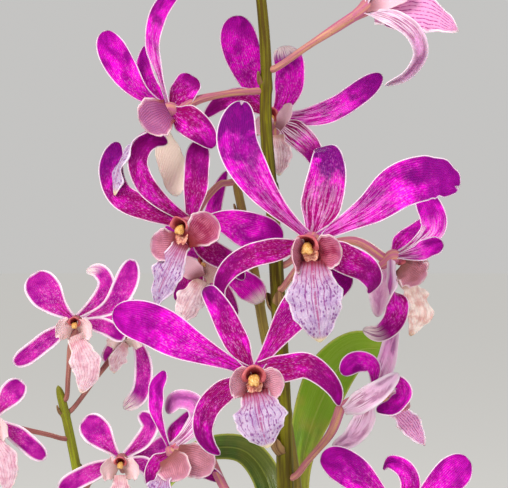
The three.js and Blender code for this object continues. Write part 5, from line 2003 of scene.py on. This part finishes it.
BLOOMS = (
    Bloom(
        "centre", at=(16.2, -28, 521), stalk=Stalk("front", 506, ((10, -6, 509), (14, -16, 515))),
        petal_left=Part(
            ((-2, 0, 2), (-10.5, -1, 10), (-16.5, -2, 18), (-21, -1, 28), (-19.5, 3, 39.5)), 11.5, cloud=1.0,
            pallor=0.2, relief=Relief(groove=0.5, ripple=0.4, notch=1.3),
        ),
        petal_right=Part(
            ((4, 0, 1.5), (16.5, -1, 9), (25, -2, 15.5), (34.5, -1, 17.5), (41.5, 1, 14.5)), 12.8, cloud=0.8,
            pallor=0.2, relief=Relief(groove=0.4, ripple=0.6, ragged=0.06, notch=1.4),
        ),
        dorsal=Part(
            ((0.5, 0, 3), (3.2, -0.5, 13), (4.4, 0, 20), (4, 3, 25.2), (1.6, 7, 26)), 11.6, cloud=2.6,
            pallor=0.3, warm=0.6,
        ),
        sepal_left=Part(
            ((-4, 0, -3), (-12, -1, -3), (-17.5, 0, -4.5), (-23, 2, -8), (-25.8, 5, -13), (-25, 7, -18)), 6.9,
        ),
        sepal_right=Part(((3.5, 0, -2.5), (9, -1, -5), (15, 0, -8), (17.5, 3, -12), (16.5, 6, -15)), 8.5),
        lip=Part(((0, -4.5, -5.5), (0, -9, -10), (0.6, -10.5, -17), (1.5, -9.5, -23), (2, -7, -28)), 16),
        lobe_left=Part(
            ((-2, 0.5, 0), (-4.2, -2.5, 1.5), (-5.8, -6, 3)), 11, face=(0.9, -0.35, 0), pallor=0.12,
        ),
        lobe_right=Part(((0.5, 0.5, 1.4), (4.2, -1.6, 2.4), (8, -3.4, 3)), 10),
        column=(-2.2, -7.6, -1.2),
    ),
    Bloom(
        "lower", at=(0, -30, 484), stalk=Stalk("front", 478, ((6, -8, 478), (2, -20, 481))),
        petal_left=Part(((-3, 0, 1), (-18, -1, 8), (-27.7, -2, 13.4), (-34.7, -1, 15.7), (-39.5, 1, 17)), 12),
        petal_right=Part(
            ((2.5, 0, 4), (6.7, 0, 10.4), (11.2, 1, 16.5), (18.5, 5, 23), (27.7, 9, 27.4)), 12, warm=0.5,
        ),
        dorsal=Part(
            ((-2, 0, 3), (-6, -0.5, 11), (-9.5, -0.5, 18), (-12.5, 1, 22.5), (-14, 6, 23.5)), 7.4, cloud=0.8,
            warm=0.7,
        ),
        sepal_left=Part(
            (
                (-3.5, 0, -2.5), (-9, 0, -5.5), (-13, 0, -10), (-14.2, 0, -16), (-12.3, 1, -20.5),
                (-9.5, 2, -23),
            ),
            6.9,
        ),
        sepal_right=Part(
            ((3, 0, 0.5), (8.7, -0.5, 1.5), (14.3, 0, 2.2), (19, 1, -0.6), (22.7, 2, -5), (24, 4, -9.5)), 7.8,
            outline=HORN,
        ),
        lip=Part(((0.3, -4.5, -4.5), (1.2, -8.5, -8.5), (2.2, -9.5, -14), (3.8, -8, -19.6)), 15),
        lobe_left=Part(
            ((-1.6, 0.6, 0.6), (-4.4, -1.2, 2.6), (-6.8, -3, 3.6)), 9.5, face=(0.5, -1, 0), pallor=0.3,
        ),
        lobe_right=Part(((1.6, 0.6, 0.6), (5, -1.2, 2.4), (8, -3, 3)), 9, face=(-0.5, -1, 0), pallor=0.3),
    ),
    Bloom(
        "left", at=(-19, -14, 525.5), stalk=Stalk("middle", 539, ((-10, -2, 538), (-16, -6, 531))),
        petal_left=Part(
            (
                (-1, 0, 3.5), (-8.3, -2, 7.3), (-12.6, -4, 12.2), (-14.4, -4.5, 18), (-12.8, -4, 22.8),
                (-9.4, -3, 24.6), (-5.9, -2, 23.6),
            ),
            6, warm=0.9, outline=STRAP,
        ),
        petal_right=Part(((3, 0, 1), (10, -1, 1), (19, -1, -2), (27.5, 0, -4)), 11),
        dorsal=Part(((1.5, 0, 4), (2, 1, 11), (2.4, 2, 18), (3, 4, 25)), 7.4, warm=0.8, outline=STRAP),
        sepal_left=Part(
            ((-3, 0, 0.5), (-11.5, -1, 4.3), (-19.7, -1, 8.7), (-22.6, 1, 16), (-21, 3, 24.5)), 7.6,
            cloud=0.9, outline=STRAP,
        ),
        sepal_right=Part(((1.7, 0, -3), (6.4, 1, -7.5), (12.2, 3, -11), (16, 6, -16)), 7),
        lip=Part(((-1.5, -4.5, -5), (-4.5, -7, -11), (-7.3, -7, -17.5), (-9.6, -5, -24)), 10, twist=50),
        lobe_left=Part(((-1, 0, 0), (-5.4, -1.4, -0.8), (-9.2, -2, -0.6)), 10, pallor=0.15),
        lobe_right=Part(((1, 0, 0), (5.4, -2, 3.2), (9.4, -3.6, 7.4)), 10.5, outline=KITE),
        column=(-3, -7, 0), girth=0.8,
    ),
    Bloom(
        "upper_left", at=(-24.5, -12, 559), facing=(-0.8, -0.6, -0.2),
        stalk=Stalk("front", 566, ((-8, -2, 565), (-18, -7, 562))),
        petal_left=Part(
            ((-3, -2, 1), (-8.8, -3, 5.3), (-14, -4, 12.3), (-17, -4, 18), (-18.7, -3, 22.8)), 9, face=FRONT,
        ),
        petal_right=Part(
            ((-0.3, 0, 1), (-2.9, 0, 10.2), (-5, 0, 19), (-3.5, 0, 27.7), (0.6, 1, 33.9), (4.1, 2, 36.2)),
            5.4, twist=75, pallor=0.5,
        ),
        dorsal=Part(((-2, 2, 2), (-6.4, 4, 7.3), (-8.2, 6, 14), (-7.9, 7, 19.9)), 6, face=FRONT),
        sepal_left=Part(((1, 2, 1.5), (3.6, 4, 5.8), (6.4, 7, 11)), 8, face=FRONT, outline=STRAP),
        sepal_right=Part(
            ((1.2, -2, -0.6), (5.8, -3, -3.5), (10.2, -3, -7.3), (12.9, -2, -11.1)), 9, face=FRONT,
        ),
        lip=Part(
            (
                (-3, -4.5, -5), (-8.4, -5.5, -8), (-12, -5, -12.2), (-14.2, -4, -16.4), (-15.4, -3, -20.8),
                (-16, -2.5, -25),
            ),
            7.6, face=(-1, 0, 0.1), twist=-62, outline=KITE,
        ),
        lobe_left=Part(
            ((3, 0, 4.4), (-0.5, -2.4, 2.4), (-4.5, -4, -0.5)), 12.5, face=FRONT, cloud=1.0, pallor=0.15,
        ),
        lobe_right=Part(
            ((0.4, 5, 0), (2.4, 8.2, -7), (4, 9, -13.4), (4.8, 8, -20)), 8.5, face=(-0.3, -1, 0.3), warm=1.0,
        ),
        column=(-5, 2, -1), girth=0.75, spur=(5, 3, -3),
    ),
    Bloom(
        "behind", at=(6.5, 14, 559), stalk=Stalk("front", 547, ((-3, 7, 550), (0, 18, 555))),
        petal_left=Part(
            ((-2, 0, 2), (-5.9, 0, 8.6), (-9.2, 0, 17.9), (-11.4, 1, 25.6), (-11.7, 3, 32.6)), 12,
        ),
        petal_right=Part(
            ((1.5, 0, 2), (4, 1, 8.6), (4.6, 2, 16.3), (2.8, 6, 23.4)), 9.5, cloud=0.8, pallor=-1.0,
            outline=STRAP,
        ),
        dorsal=Part(
            ((4, 0, 0), (10.8, 0, 0.6), (18.5, 0, 3), (26.2, 0, 8), (33.4, 1, 13.8)), 7.5, cloud=0.85,
            pallor=0.4, outline=STRAP,
        ),
        sepal_left=Part(((-4, 0, 3), (-9.2, -1, 6.2), (-16.3, -2, 5), (-22.2, -2, 0)), 6.5),
        sepal_right=Part(((1.5, 0, -2), (7, -1, -5.2), (11.4, -1, -9.9), (13.2, 1, -15.4)), 8, pallor=1.25),
        lip=Part(((0.4, -4.5, -5.5), (0.9, -6, -10.5), (1.2, -5, -18)), 9, warm=0.45),
        lobe_left=Part(((-1.4, 0.6, 1), (-4, -1.4, 3), (-6, -3.6, 5)), 7, pallor=0.6),
        lobe_right=Part(
            ((0.5, 0.6, 2), (2.6, -1.4, 6), (4.4, -2.6, 9.5)), 4.5, face=(-0.5, -1, 0), pallor=1.0,
        ),
        column=(-1.5, -5, 1.5), girth=0.65,
    ),
    Bloom(
        "top_right", at=(33, -4, 590), facing=(1, 0, 0.1), stalk=Stalk("front", 572, ((16, -3, 579),)),
        petal_left=Part(((1, -2, 3), (6, -6, 12), (12, -8, 21), (20, -7, 28)), 10),
        petal_right=Part(((2, 3, 3), (9, 6, 11), (17, 8, 18), (26, 8, 22)), 10),
        dorsal=Part(((0, 0, 3), (1, 0, 12), (0, 1, 20), (-4, 2, 26)), 9),
        sepal_left=Part(
            (
                (1, -3, -2), (8, -9.4, -4.6), (13.4, -9.8, -8.9), (15.6, -8, -14.6), (12.4, -6, -20),
                (5.5, -5, -23.4),
            ),
            6, face=(0.2, -1, 0.2), pallor=1.72,
        ),
        sepal_right=Part(((3, 3, 0), (9, 9, -1), (17, 11, -2), (26, 11, -4)), 8, face=(0, -1, 0.2)),
        lip=Part(
            ((3, -1, -1.5), (11, -3.5, -1.6), (19.5, -3.5, -2.6), (27.6, -2, -7)), 13, face=(0, -1, 0.35),
            pallor=0.95,
        ),
        lobe_left=Part(
            ((-3, -0.6, 1.6), (3.5, -3.6, 3.6), (10.5, -5.4, 5.6)), 7, face=(0, -1, 0.3), pallor=0.8,
        ),
        lobe_right=Part(((0, 1, 0.2), (3.5, 5.2, 2.6), (7.5, 6.2, 6)), 8, face=(0, -1, 0.3)),
        column=(6, 0.6, 6.5), spur=(-5, 0, -3.5),
    ),
    Bloom(
        "right", at=(41.5, -2, 516), facing=(0.9, -0.2, -0.4),
        stalk=Stalk("front", 513, ((14, 3, 517), (30, 2, 521))),
        petal_left=Part(
            ((1.5, -3, 0.5), (6.7, -4, 1.3), (11.2, -5, 3.2), (14.5, -5, 4.3)), 6.5, face=(0.2, -1, 0.4),
            pallor=0.7,
        ),
        petal_right=Part(
            ((1.5, 0, 1), (7.5, 1, 4), (12.3, 2, 8.7), (11.1, 3, 15.5), (8, 4, 20)), 8.5, face=FRONT,
            pallor=1.3,
        ),
        dorsal=Part(((0.5, 2, 2), (4.5, 4, 5.2), (8.7, 6, 8.7), (11, 8, 12)), 7, face=(-0.3, -1, 0.3)),
        sepal_left=Part(
            (
                (-1.5, -3, -1.5), (-0.8, -4, -5.5), (-0.5, -4.5, -9.8), (0.8, -5, -14.2), (-0.5, -5, -19),
                (-4.4, -4, -22.3), (-9.2, -3, -21.4),
            ),
            7, face=(0.3, 1, 0), twist=165, turning=(0.18, 0.52), pallor=-1.0, warm=0.9,
            relief=Relief(cup=0.3, groove=0.1, ripple=0.1, thick=1.3),
            outline=Outline(root=0.36, start=0.12, swell=0.5, tip=0.56, point=1.7),
        ),
        sepal_right=Part(
            ((-2.4, 2, -1.5), (-3.6, 3, -8.4), (-3.9, 3, -13.4), (-4.3, 3, -18)), 7, face=(0, 1, 0),
            pallor=2.0,
        ),
        lip=Part(
            ((4, -1, -5.5), (6.5, -1, -12.2), (8, -1, -17.4), (5.2, 0, -23.5)), 11.5, face=(0.6, -0.8, 0),
            warm=0.75, relief=Relief(cup=-0.12, groove=0.9, ripple=1.1, frill=0.08, frills=4.0, thick=0.5),
        ),
        lobe_left=Part(
            ((-2, -0.3, 3), (1, -3, 1.4), (4.6, -4, -1.6)), 10.5, face=(0.3, -0.9, 0), warm=0.12,
            relief=WAVED,
        ),
        lobe_right=Part(
            ((0, 0.2, 2), (3.4, 2.4, 2.2), (6.6, 3.6, 1)), 9, face=(0.3, -0.9, 0), warm=0.3, relief=WAVED,
        ),
        column=(5, 1, -1), girth=0.7, spur=(-4, 1, -3),
    ),
    Bloom(
        "lower_right", at=(35, -5, 475), facing=(0.8, 0.2, -0.4),
        stalk=Stalk("front", 449, ((16, -2, 455), (23, -4, 464)), at_spur=True),
        petal_left=Part(
            ((1.5, -1, 3), (0, -1, 8.9), (-4.8, -1, 10.1), (-9.2, -1, 6.5)), 6.5, face=(0, -1, 0.2),
        ),
        petal_right=Part(
            ((2.4, -2, 1.5), (7.4, -3.5, 4.4), (9, -4.5, 1), (6.4, -5.5, -2.2), (0.8, -5.5, -4)), 6.5,
            face=FRONT,
        ),
        dorsal=Part(
            ((2, 1, 3), (4.5, 1, 10.1), (5.9, 2, 16), (7.7, 3, 21.4)), 6, face=(-0.4, -1, 0), pallor=1.8,
        ),
        sepal_left=Part(
            ((-8.3, -2.5, -4.2), (-4.5, -6.2, -1.6), (1, -7.6, 2), (5, -6.6, 5.2), (7.4, -5, 7)), 7,
            face=(0, -1, 0.3), pallor=2.0, outline=SEPAL,
        ),
        sepal_right=Part(
            ((-1, 1, -3), (-3, 1, -8.6), (-6.5, 1, -13), (-11.6, 2, -15.4)), 7, face=(0.2, -1, 0), pallor=2.0,
        ),
        lip=Part(
            ((5, 1, -3.5), (9.5, 1, -6.5), (13, 1, -10.7), (16, 2, -15.2)), 7.5, face=(0, -1, 0.3),
            pallor=0.8,
        ),
        lobe_left=Part(((0, -0.8, 0), (3.5, -3, 1.5), (6, -4.5, 1)), 6.5, face=(0, 1, 0.3)),
        lobe_right=Part(((0, 0.8, 0), (3.5, 4, 1.5), (6, 5.5, 1)), 6.5, face=(0, -1, 0.3)),
        column=(5, 3, 0), girth=0.6, spur=(-9.5, 0, -3),
    ),
    Bloom(
        "bottom", at=(43, -10, 441.5), stalk=Stalk("front", 438, ((18, 1, 439), (34, -2, 440))),
        petal_left=Part(((-2.5, 0, 2), (-8.2, -1, 7), (-14, -1, 11.7), (-19, 0, 14.7), (-23.5, 1, 16)), 10.5),
        petal_right=Part(((2.3, 0, 1.5), (10.3, -1, 7), (16.1, -1, 12.3), (20, 0, 15.5)), 10.5),
        dorsal=Part(((0.5, 0, 2), (2.9, 0, 8), (1.2, 1, 12.3), (-2.9, 3, 14.1), (-4.5, 6, 11.5)), 6),
    ),
    Bloom(
        "inner", at=(-14.5, 6, 514.5), facing=(-0.4, -0.9, -0.2), stalk=Stalk("middle", 503, ((-6, 9, 507),)),
        petal_left=Part(((-2, 0, 2), (-7, 2, 5), (-11, 5, 8), (-13, 8, 11)), 9),
        petal_right=Part(
            ((2.4, 0, -1.8), (7.9, -1, -4), (13.4, -1, -7.9), (17, 0, -12.2)), 9, cloud=0.1, pallor=-1.0,
        ),
        dorsal=Part(((0.6, 1, 3.7), (1.8, 2, 14.3), (3.7, 3, 22), (6.1, 4, 28)), 6),
        sepal_left=Part(((-2, 0, -2), (-5, 3, -6), (-8, 6, -9), (-10, 9, -12)), 7),
        sepal_right=Part(((1, 2, -3), (4, 5, -8), (7, 8, -13), (9, 11, -17)), 7),
        lip=Part(((-1.2, -4.5, -5.5), (-3.7, -7, -9.5), (-6, -7.5, -14), (-8, -6, -18.5)), 9.5, warm=0.45),
        lobe_left=Part(((-0.4, 0, 1), (-3.4, -2.4, 3.8), (-6, -4, 7)), 8, pallor=0.8),
        lobe_right=Part(((0.6, 0, 1), (3.8, -2.6, 3.6), (7.4, -4, 6.4)), 9, face=(-0.3, -1, 0), warm=0.35),
        column=(-0.6, -5, 1), girth=0.6,
    ),
    Bloom(
        "above", at=(-26, -20, 612), stalk=Stalk("front", 604, ((-8, -8, 606), (-20, -14, 609))),
        petal_left=Part(((-3, 0, 1.5), (-12, 0, 9), (-20, 1, 16), (-27, 3, 21)), 11),
        petal_right=Part(((3, 0, 1.5), (11, 0, 10), (18, 1, 18), (24, 3, 24)), 11),
        dorsal=Part(((0, 0, 3), (0, 0, 12), (-1, 1, 20), (-1, 5, 26)), 8.5),
        sepal_left=Part(((-3, 0, -2), (-10, 0, -5), (-17, 1, -10), (-21, 3, -16)), 8),
        sepal_right=Part(((3, 0, -2), (9, 0, -6), (13, 1, -12), (13, 3, -18)), 8),
        lip=Part(((0, -4.5, -5.5), (0, -8, -10), (0, -9, -16), (0, -8, -22)), 13),
    ),
    Bloom(
        "far_top", at=(-72.5, 146, 488.5), stalk=Stalk("far", 455, ((-76, 147, 466), (-75, 148, 478))),
        petal_left=Part(((-1.5, 0, 1), (-8.2, 0, 6.6), (-13.6, 0, 13.2), (-17.7, 1, 19.7)), 14.5),
        petal_right=Part(((2, 0, 1), (14, 0, 6.2), (19.7, 0, 14.4), (23, 1, 25.5)), 10),
        dorsal=Part(
            ((1.5, 0, 3), (10.3, 1, 10.5), (11.9, 2, 16), (8.6, 4, 20.5), (3.3, 6, 20.6)), 7, pallor=-1.0,
        ),
        sepal_left=Part(((-2, 0, -1), (-11.5, 0, -7.4), (-18.9, 0, -13.2), (-25.9, 1, -17.7)), 8),
        sepal_right=Part(((2.5, 0, 0), (12.3, 0, -2.5), (19.7, 1, -7.4)), 7),
        girth=0.75,
        lip=Part(
            ((0, -4.5, -5.5), (3.3, -6, -13.2), (4.9, -6, -20.6), (2.5, -5, -29)), 13, pallor=0.4, warm=0.4,
        ),
    ),
    Bloom(
        "far_behind", at=(-52.5, 163, 484), facing=(0.5, -0.8, -0.3),
        stalk=Stalk("far", 450, ((-66, 158, 464), (-57, 166, 476))),
        petal_left=Part(((-3, 1, 1), (-8, 4, 4), (-12, 8, 6), (-15, 12, 6)), 8),
        petal_right=Part(((3, 1, 1), (8, 3, 1.5), (12, 5, 0), (15, 7, -2)), 8),
        dorsal=Part(((0, 1, 3), (1, 4, 7), (2, 8, 10), (2, 12, 11)), 7),
        sepal_left=Part(((-2, 1, -2), (-6, 4, -6), (-9, 7, -10), (-10, 9, -15)), 7),
        sepal_right=Part(
            ((2, 0, -2), (5, 0.5, -10), (6, -1, -19), (4.5, -3, -27), (-2, -3, -33)), 8, pallor=-1.0,
        ),
        lip=Part(((-1, -4.5, -5.5), (-3, -6, -10), (-5, -6, -14), (-6, -5, -18)), 9, pallor=0.3, warm=0.45),
        lobe_left=Part(((-0.6, -0.3, 0), (-4.2, -2.6, 1.4), (-6.6, -4.6, 4)), 7, warm=0.6),
        lobe_right=Part(((0.4, 0.2, 0), (4.2, -1, 1.4), (7.6, -1.6, 3.5)), 8, warm=0.5),
        column=(-1, -5, 0), girth=0.6,
    ),
    Bloom(
        "far_left", at=(-105, 138, 449), stalk=Stalk("far", 440, ((-84, 147, 442), (-97, 145, 445))),
        petal_left=Part(((-1.5, 0, 2), (-9, 0, 9), (-15, 1, 15), (-19, 2, 21)), 11),
        petal_right=Part(((1.5, 0, 2), (6, 0, 9), (12, 0, 16)), 10),
        dorsal=Part(((0, 0, 3), (-1, 0, 11), (-2, 1, 18), (-2, 4, 23)), 7),
        sepal_left=Part(((-2, 0, -1), (-10, 0, -5), (-17, 0, -10), (-22, 1, -15)), 8),
        sepal_right=Part(((2, 0, -1), (9.7, 0, -5.7), (16, 0, -11), (21, 1, -15.8)), 8),
        girth=0.75,
        lip=Part(
            ((0, -4.5, -5.5), (4.5, -6, -13), (6.5, -6, -21), (6.3, -5, -28)), 12, pallor=0.45, warm=0.35,
        ),
    ),
    Bloom(
        "far_low", at=(-52.5, 131, 434.5), stalk=Stalk("far", 418, ((-66, 141, 424), (-57, 138, 430))),
        petal_left=Part(((-2, 0, 1.5), (-6, 0, 6.4), (-10.8, 0, 12), (-15.6, 1, 16)), 12),
        petal_right=Part(((3, 1, 1), (10, 3, 2), (17, 6, 5), (22, 9, 9)), 9),
        dorsal=Part(((2.5, 0, 3), (9, 0, 8.5), (11.2, 0, 14), (6.8, 1, 18.5)), 7),
        sepal_left=Part(((-2.5, 0, -1), (-11.2, 0, -4.8), (-19.2, 0, -8.8), (-25.2, 1, -12.8)), 8),
        sepal_right=Part(((3, 0, -1), (8.8, 0, -2.2), (12, 1, -6), (10.8, 2, -11)), 7),
        girth=0.75,
        lip=Part(((0, -4.5, -5.5), (0, -6, -12), (1, -6, -19), (1, -5, -25)), 11, pallor=0.4, warm=0.4),
    ),
    Bloom(
        "low", at=(-25.5, 12, 456), facing=(-0.5, -0.8, -0.2),
        stalk=Stalk("middle", 424, ((10, 10.6, 427), (-1, 12, 433), (-8.5, 13.5, 443)), at_spur=True),
        petal_left=Part(((-1.6, 0, 2.4), (-4.3, 0, 10.9), (-4.6, 0, 18.6), (-2.2, 1, 24.8)), 6.2),
        petal_right=Part(
            ((0.8, -1, 2.4), (5, -1.5, 5.6), (8.3, -1, 10.4), (6.6, 0, 15), (1.6, 1, 15.6), (-1.6, 2, 11.4)),
            6.0, pallor=1.62, outline=STRAP,
        ),
        dorsal=Part(((0, 1, 2.4), (1.6, 3, 6.4), (4.8, 6, 9.6), (8, 8, 12)), 6),
        sepal_left=Part(((-1.6, 0, -1.6), (-4.8, 2, -4.8), (-6.4, 3, -8.8), (-7.2, 5, -12.8)), 6),
        sepal_right=Part(((2.4, 0, -1.6), (7.2, 0, -4), (12, 1, -7.2), (16, 2, -9.6)), 7),
        lip=Part(((-1.2, -4.5, -5.5), (-3, -6, -9.5), (-4.4, -6, -13.5), (-6, -5, -17.5)), 9),
        lobe_left=Part(
            ((0.4, 0, 4.5), (2.2, -2, 2), (3.4, -2.5, -2.8)), 11.5, face=(-0.2, -1, 0.1), pallor=0.12,
            warm=0.05,
        ),
        lobe_right=Part(
            ((3, 1, 5), (8, 0, 3.6), (14.5, 1, 0.6)), 11, face=(0.2, -1, 0.1), pallor=0.15, warm=0.05,
        ),
        column=(1, 1, 2), girth=0.6, spur=(11.5, 2, -0.5),
    ),
)


@dataclass(frozen=True)
class Lamp:
    """One soft light: where it stands, what it points at, its size and its strength."""

    name: str
    spot: Point
    size: float
    watts: float
    tint: tuple[float, float, float] = (1.0, 1.0, 1.0)
    aim: Point = (0.0, 0.0, 0.45)

    def build(self) -> None:
        """Hangs the light."""
        lamp = bpy.data.lights.new(self.name, "AREA")
        lamp.shape, lamp.size, lamp.energy, lamp.color = "DISK", self.size, self.watts, self.tint
        made = link(self.name, lamp)
        made.location = mathutils.Vector(self.spot)
        way = mathutils.Vector(self.aim) - mathutils.Vector(self.spot)
        made.rotation_euler = way.to_track_quat("-Z", "Y").to_euler()


@dataclass(frozen=True)
class Setting:
    """The pale floor, the soft lights and the camera."""

    floor_radii: tuple[float, ...] = (0.48, 1.2, 2.88, 7.2, 14.4, 24.0)
    floor_sides: int = 72
    camera_at: Point = (0.0, -0.408, 0.520)
    lens: float = 96.17
    film: float = 36.0
    sight: tuple[float, float] = (0.02, 80.0)
    sky: str = "F3F2F0"
    sky_strength: float = 0.62
    lamps: tuple[Lamp, ...] = (
        Lamp("key", (-0.9, -1.2, 1.6), 0.8, 36.0, (1.0, 0.98, 0.95)),
        Lamp("fill", (1.3, -1.0, 0.8), 1.2, 9.0, (0.95, 0.97, 1.0)),
        Lamp("rim", (0.5, 1.2, 1.3), 0.8, 12.0),
    )

    def build(self) -> None:
        """Builds the setting."""
        for lamp in self.lamps:
            lamp.build()
        self._floor()
        self._camera()
        scene = bpy.context.scene
        scene.world = bpy.data.worlds.new("soft sky")
        scene.world.use_nodes = True
        sky = scene.world.node_tree.nodes["Background"].inputs
        sky[0].default_value, sky[1].default_value = paint(self.sky), self.sky_strength
        scene.view_settings.view_transform = "Standard"

    def _floor(self) -> None:
        """Lays the floor, in rings round its middle."""
        size = self.floor_sides
        angles = ring_angles(size)
        spots = [(0.0, 0.0, 0.0)]
        spots += [(r * math.cos(a), r * math.sin(a), 0.0) for r in self.floor_radii for a in angles]
        faces: list[tuple[int, ...]] = [(0, 1 + j, 1 + (j + 1) % size) for j in range(size)]
        faces += [tuple(1 + k for k in reversed(face)) for face in band_faces(len(self.floor_radii), size)]
        mesh = bpy.data.meshes.new("floor")
        mesh.from_pydata(spots, [], faces)
        mesh.materials.append(Look.FLOOR.material)
        link("floor", mesh)

    def _camera(self) -> None:
        """Sets up the camera, level and facing the plant."""
        camera = bpy.data.cameras.new("camera")
        camera.lens, camera.sensor_width, camera.sensor_fit = self.lens, self.film, "HORIZONTAL"
        camera.clip_start, camera.clip_end = self.sight
        made = link("camera", camera)
        made.location, made.rotation_euler = self.camera_at, (math.pi / 2, 0.0, 0.0)
        bpy.context.scene.camera = made


def main() -> None:
    """Builds the plant and its setting, piece by piece."""
    logging.basicConfig(level=logging.INFO, format="%(name)s: %(message)s")
    Setting().build()
    pot = Pot()
    sprays = {spray.name: spray for spray in SPRAYS}
    for part in (pot, BarkMix(pot), ROOTS, *CANES, *SPRAYS):
        part.build()
    for bloom in BLOOMS:
        bloom.build(sprays[bloom.stalk.spray])


if __name__ == "__main__":
    main()
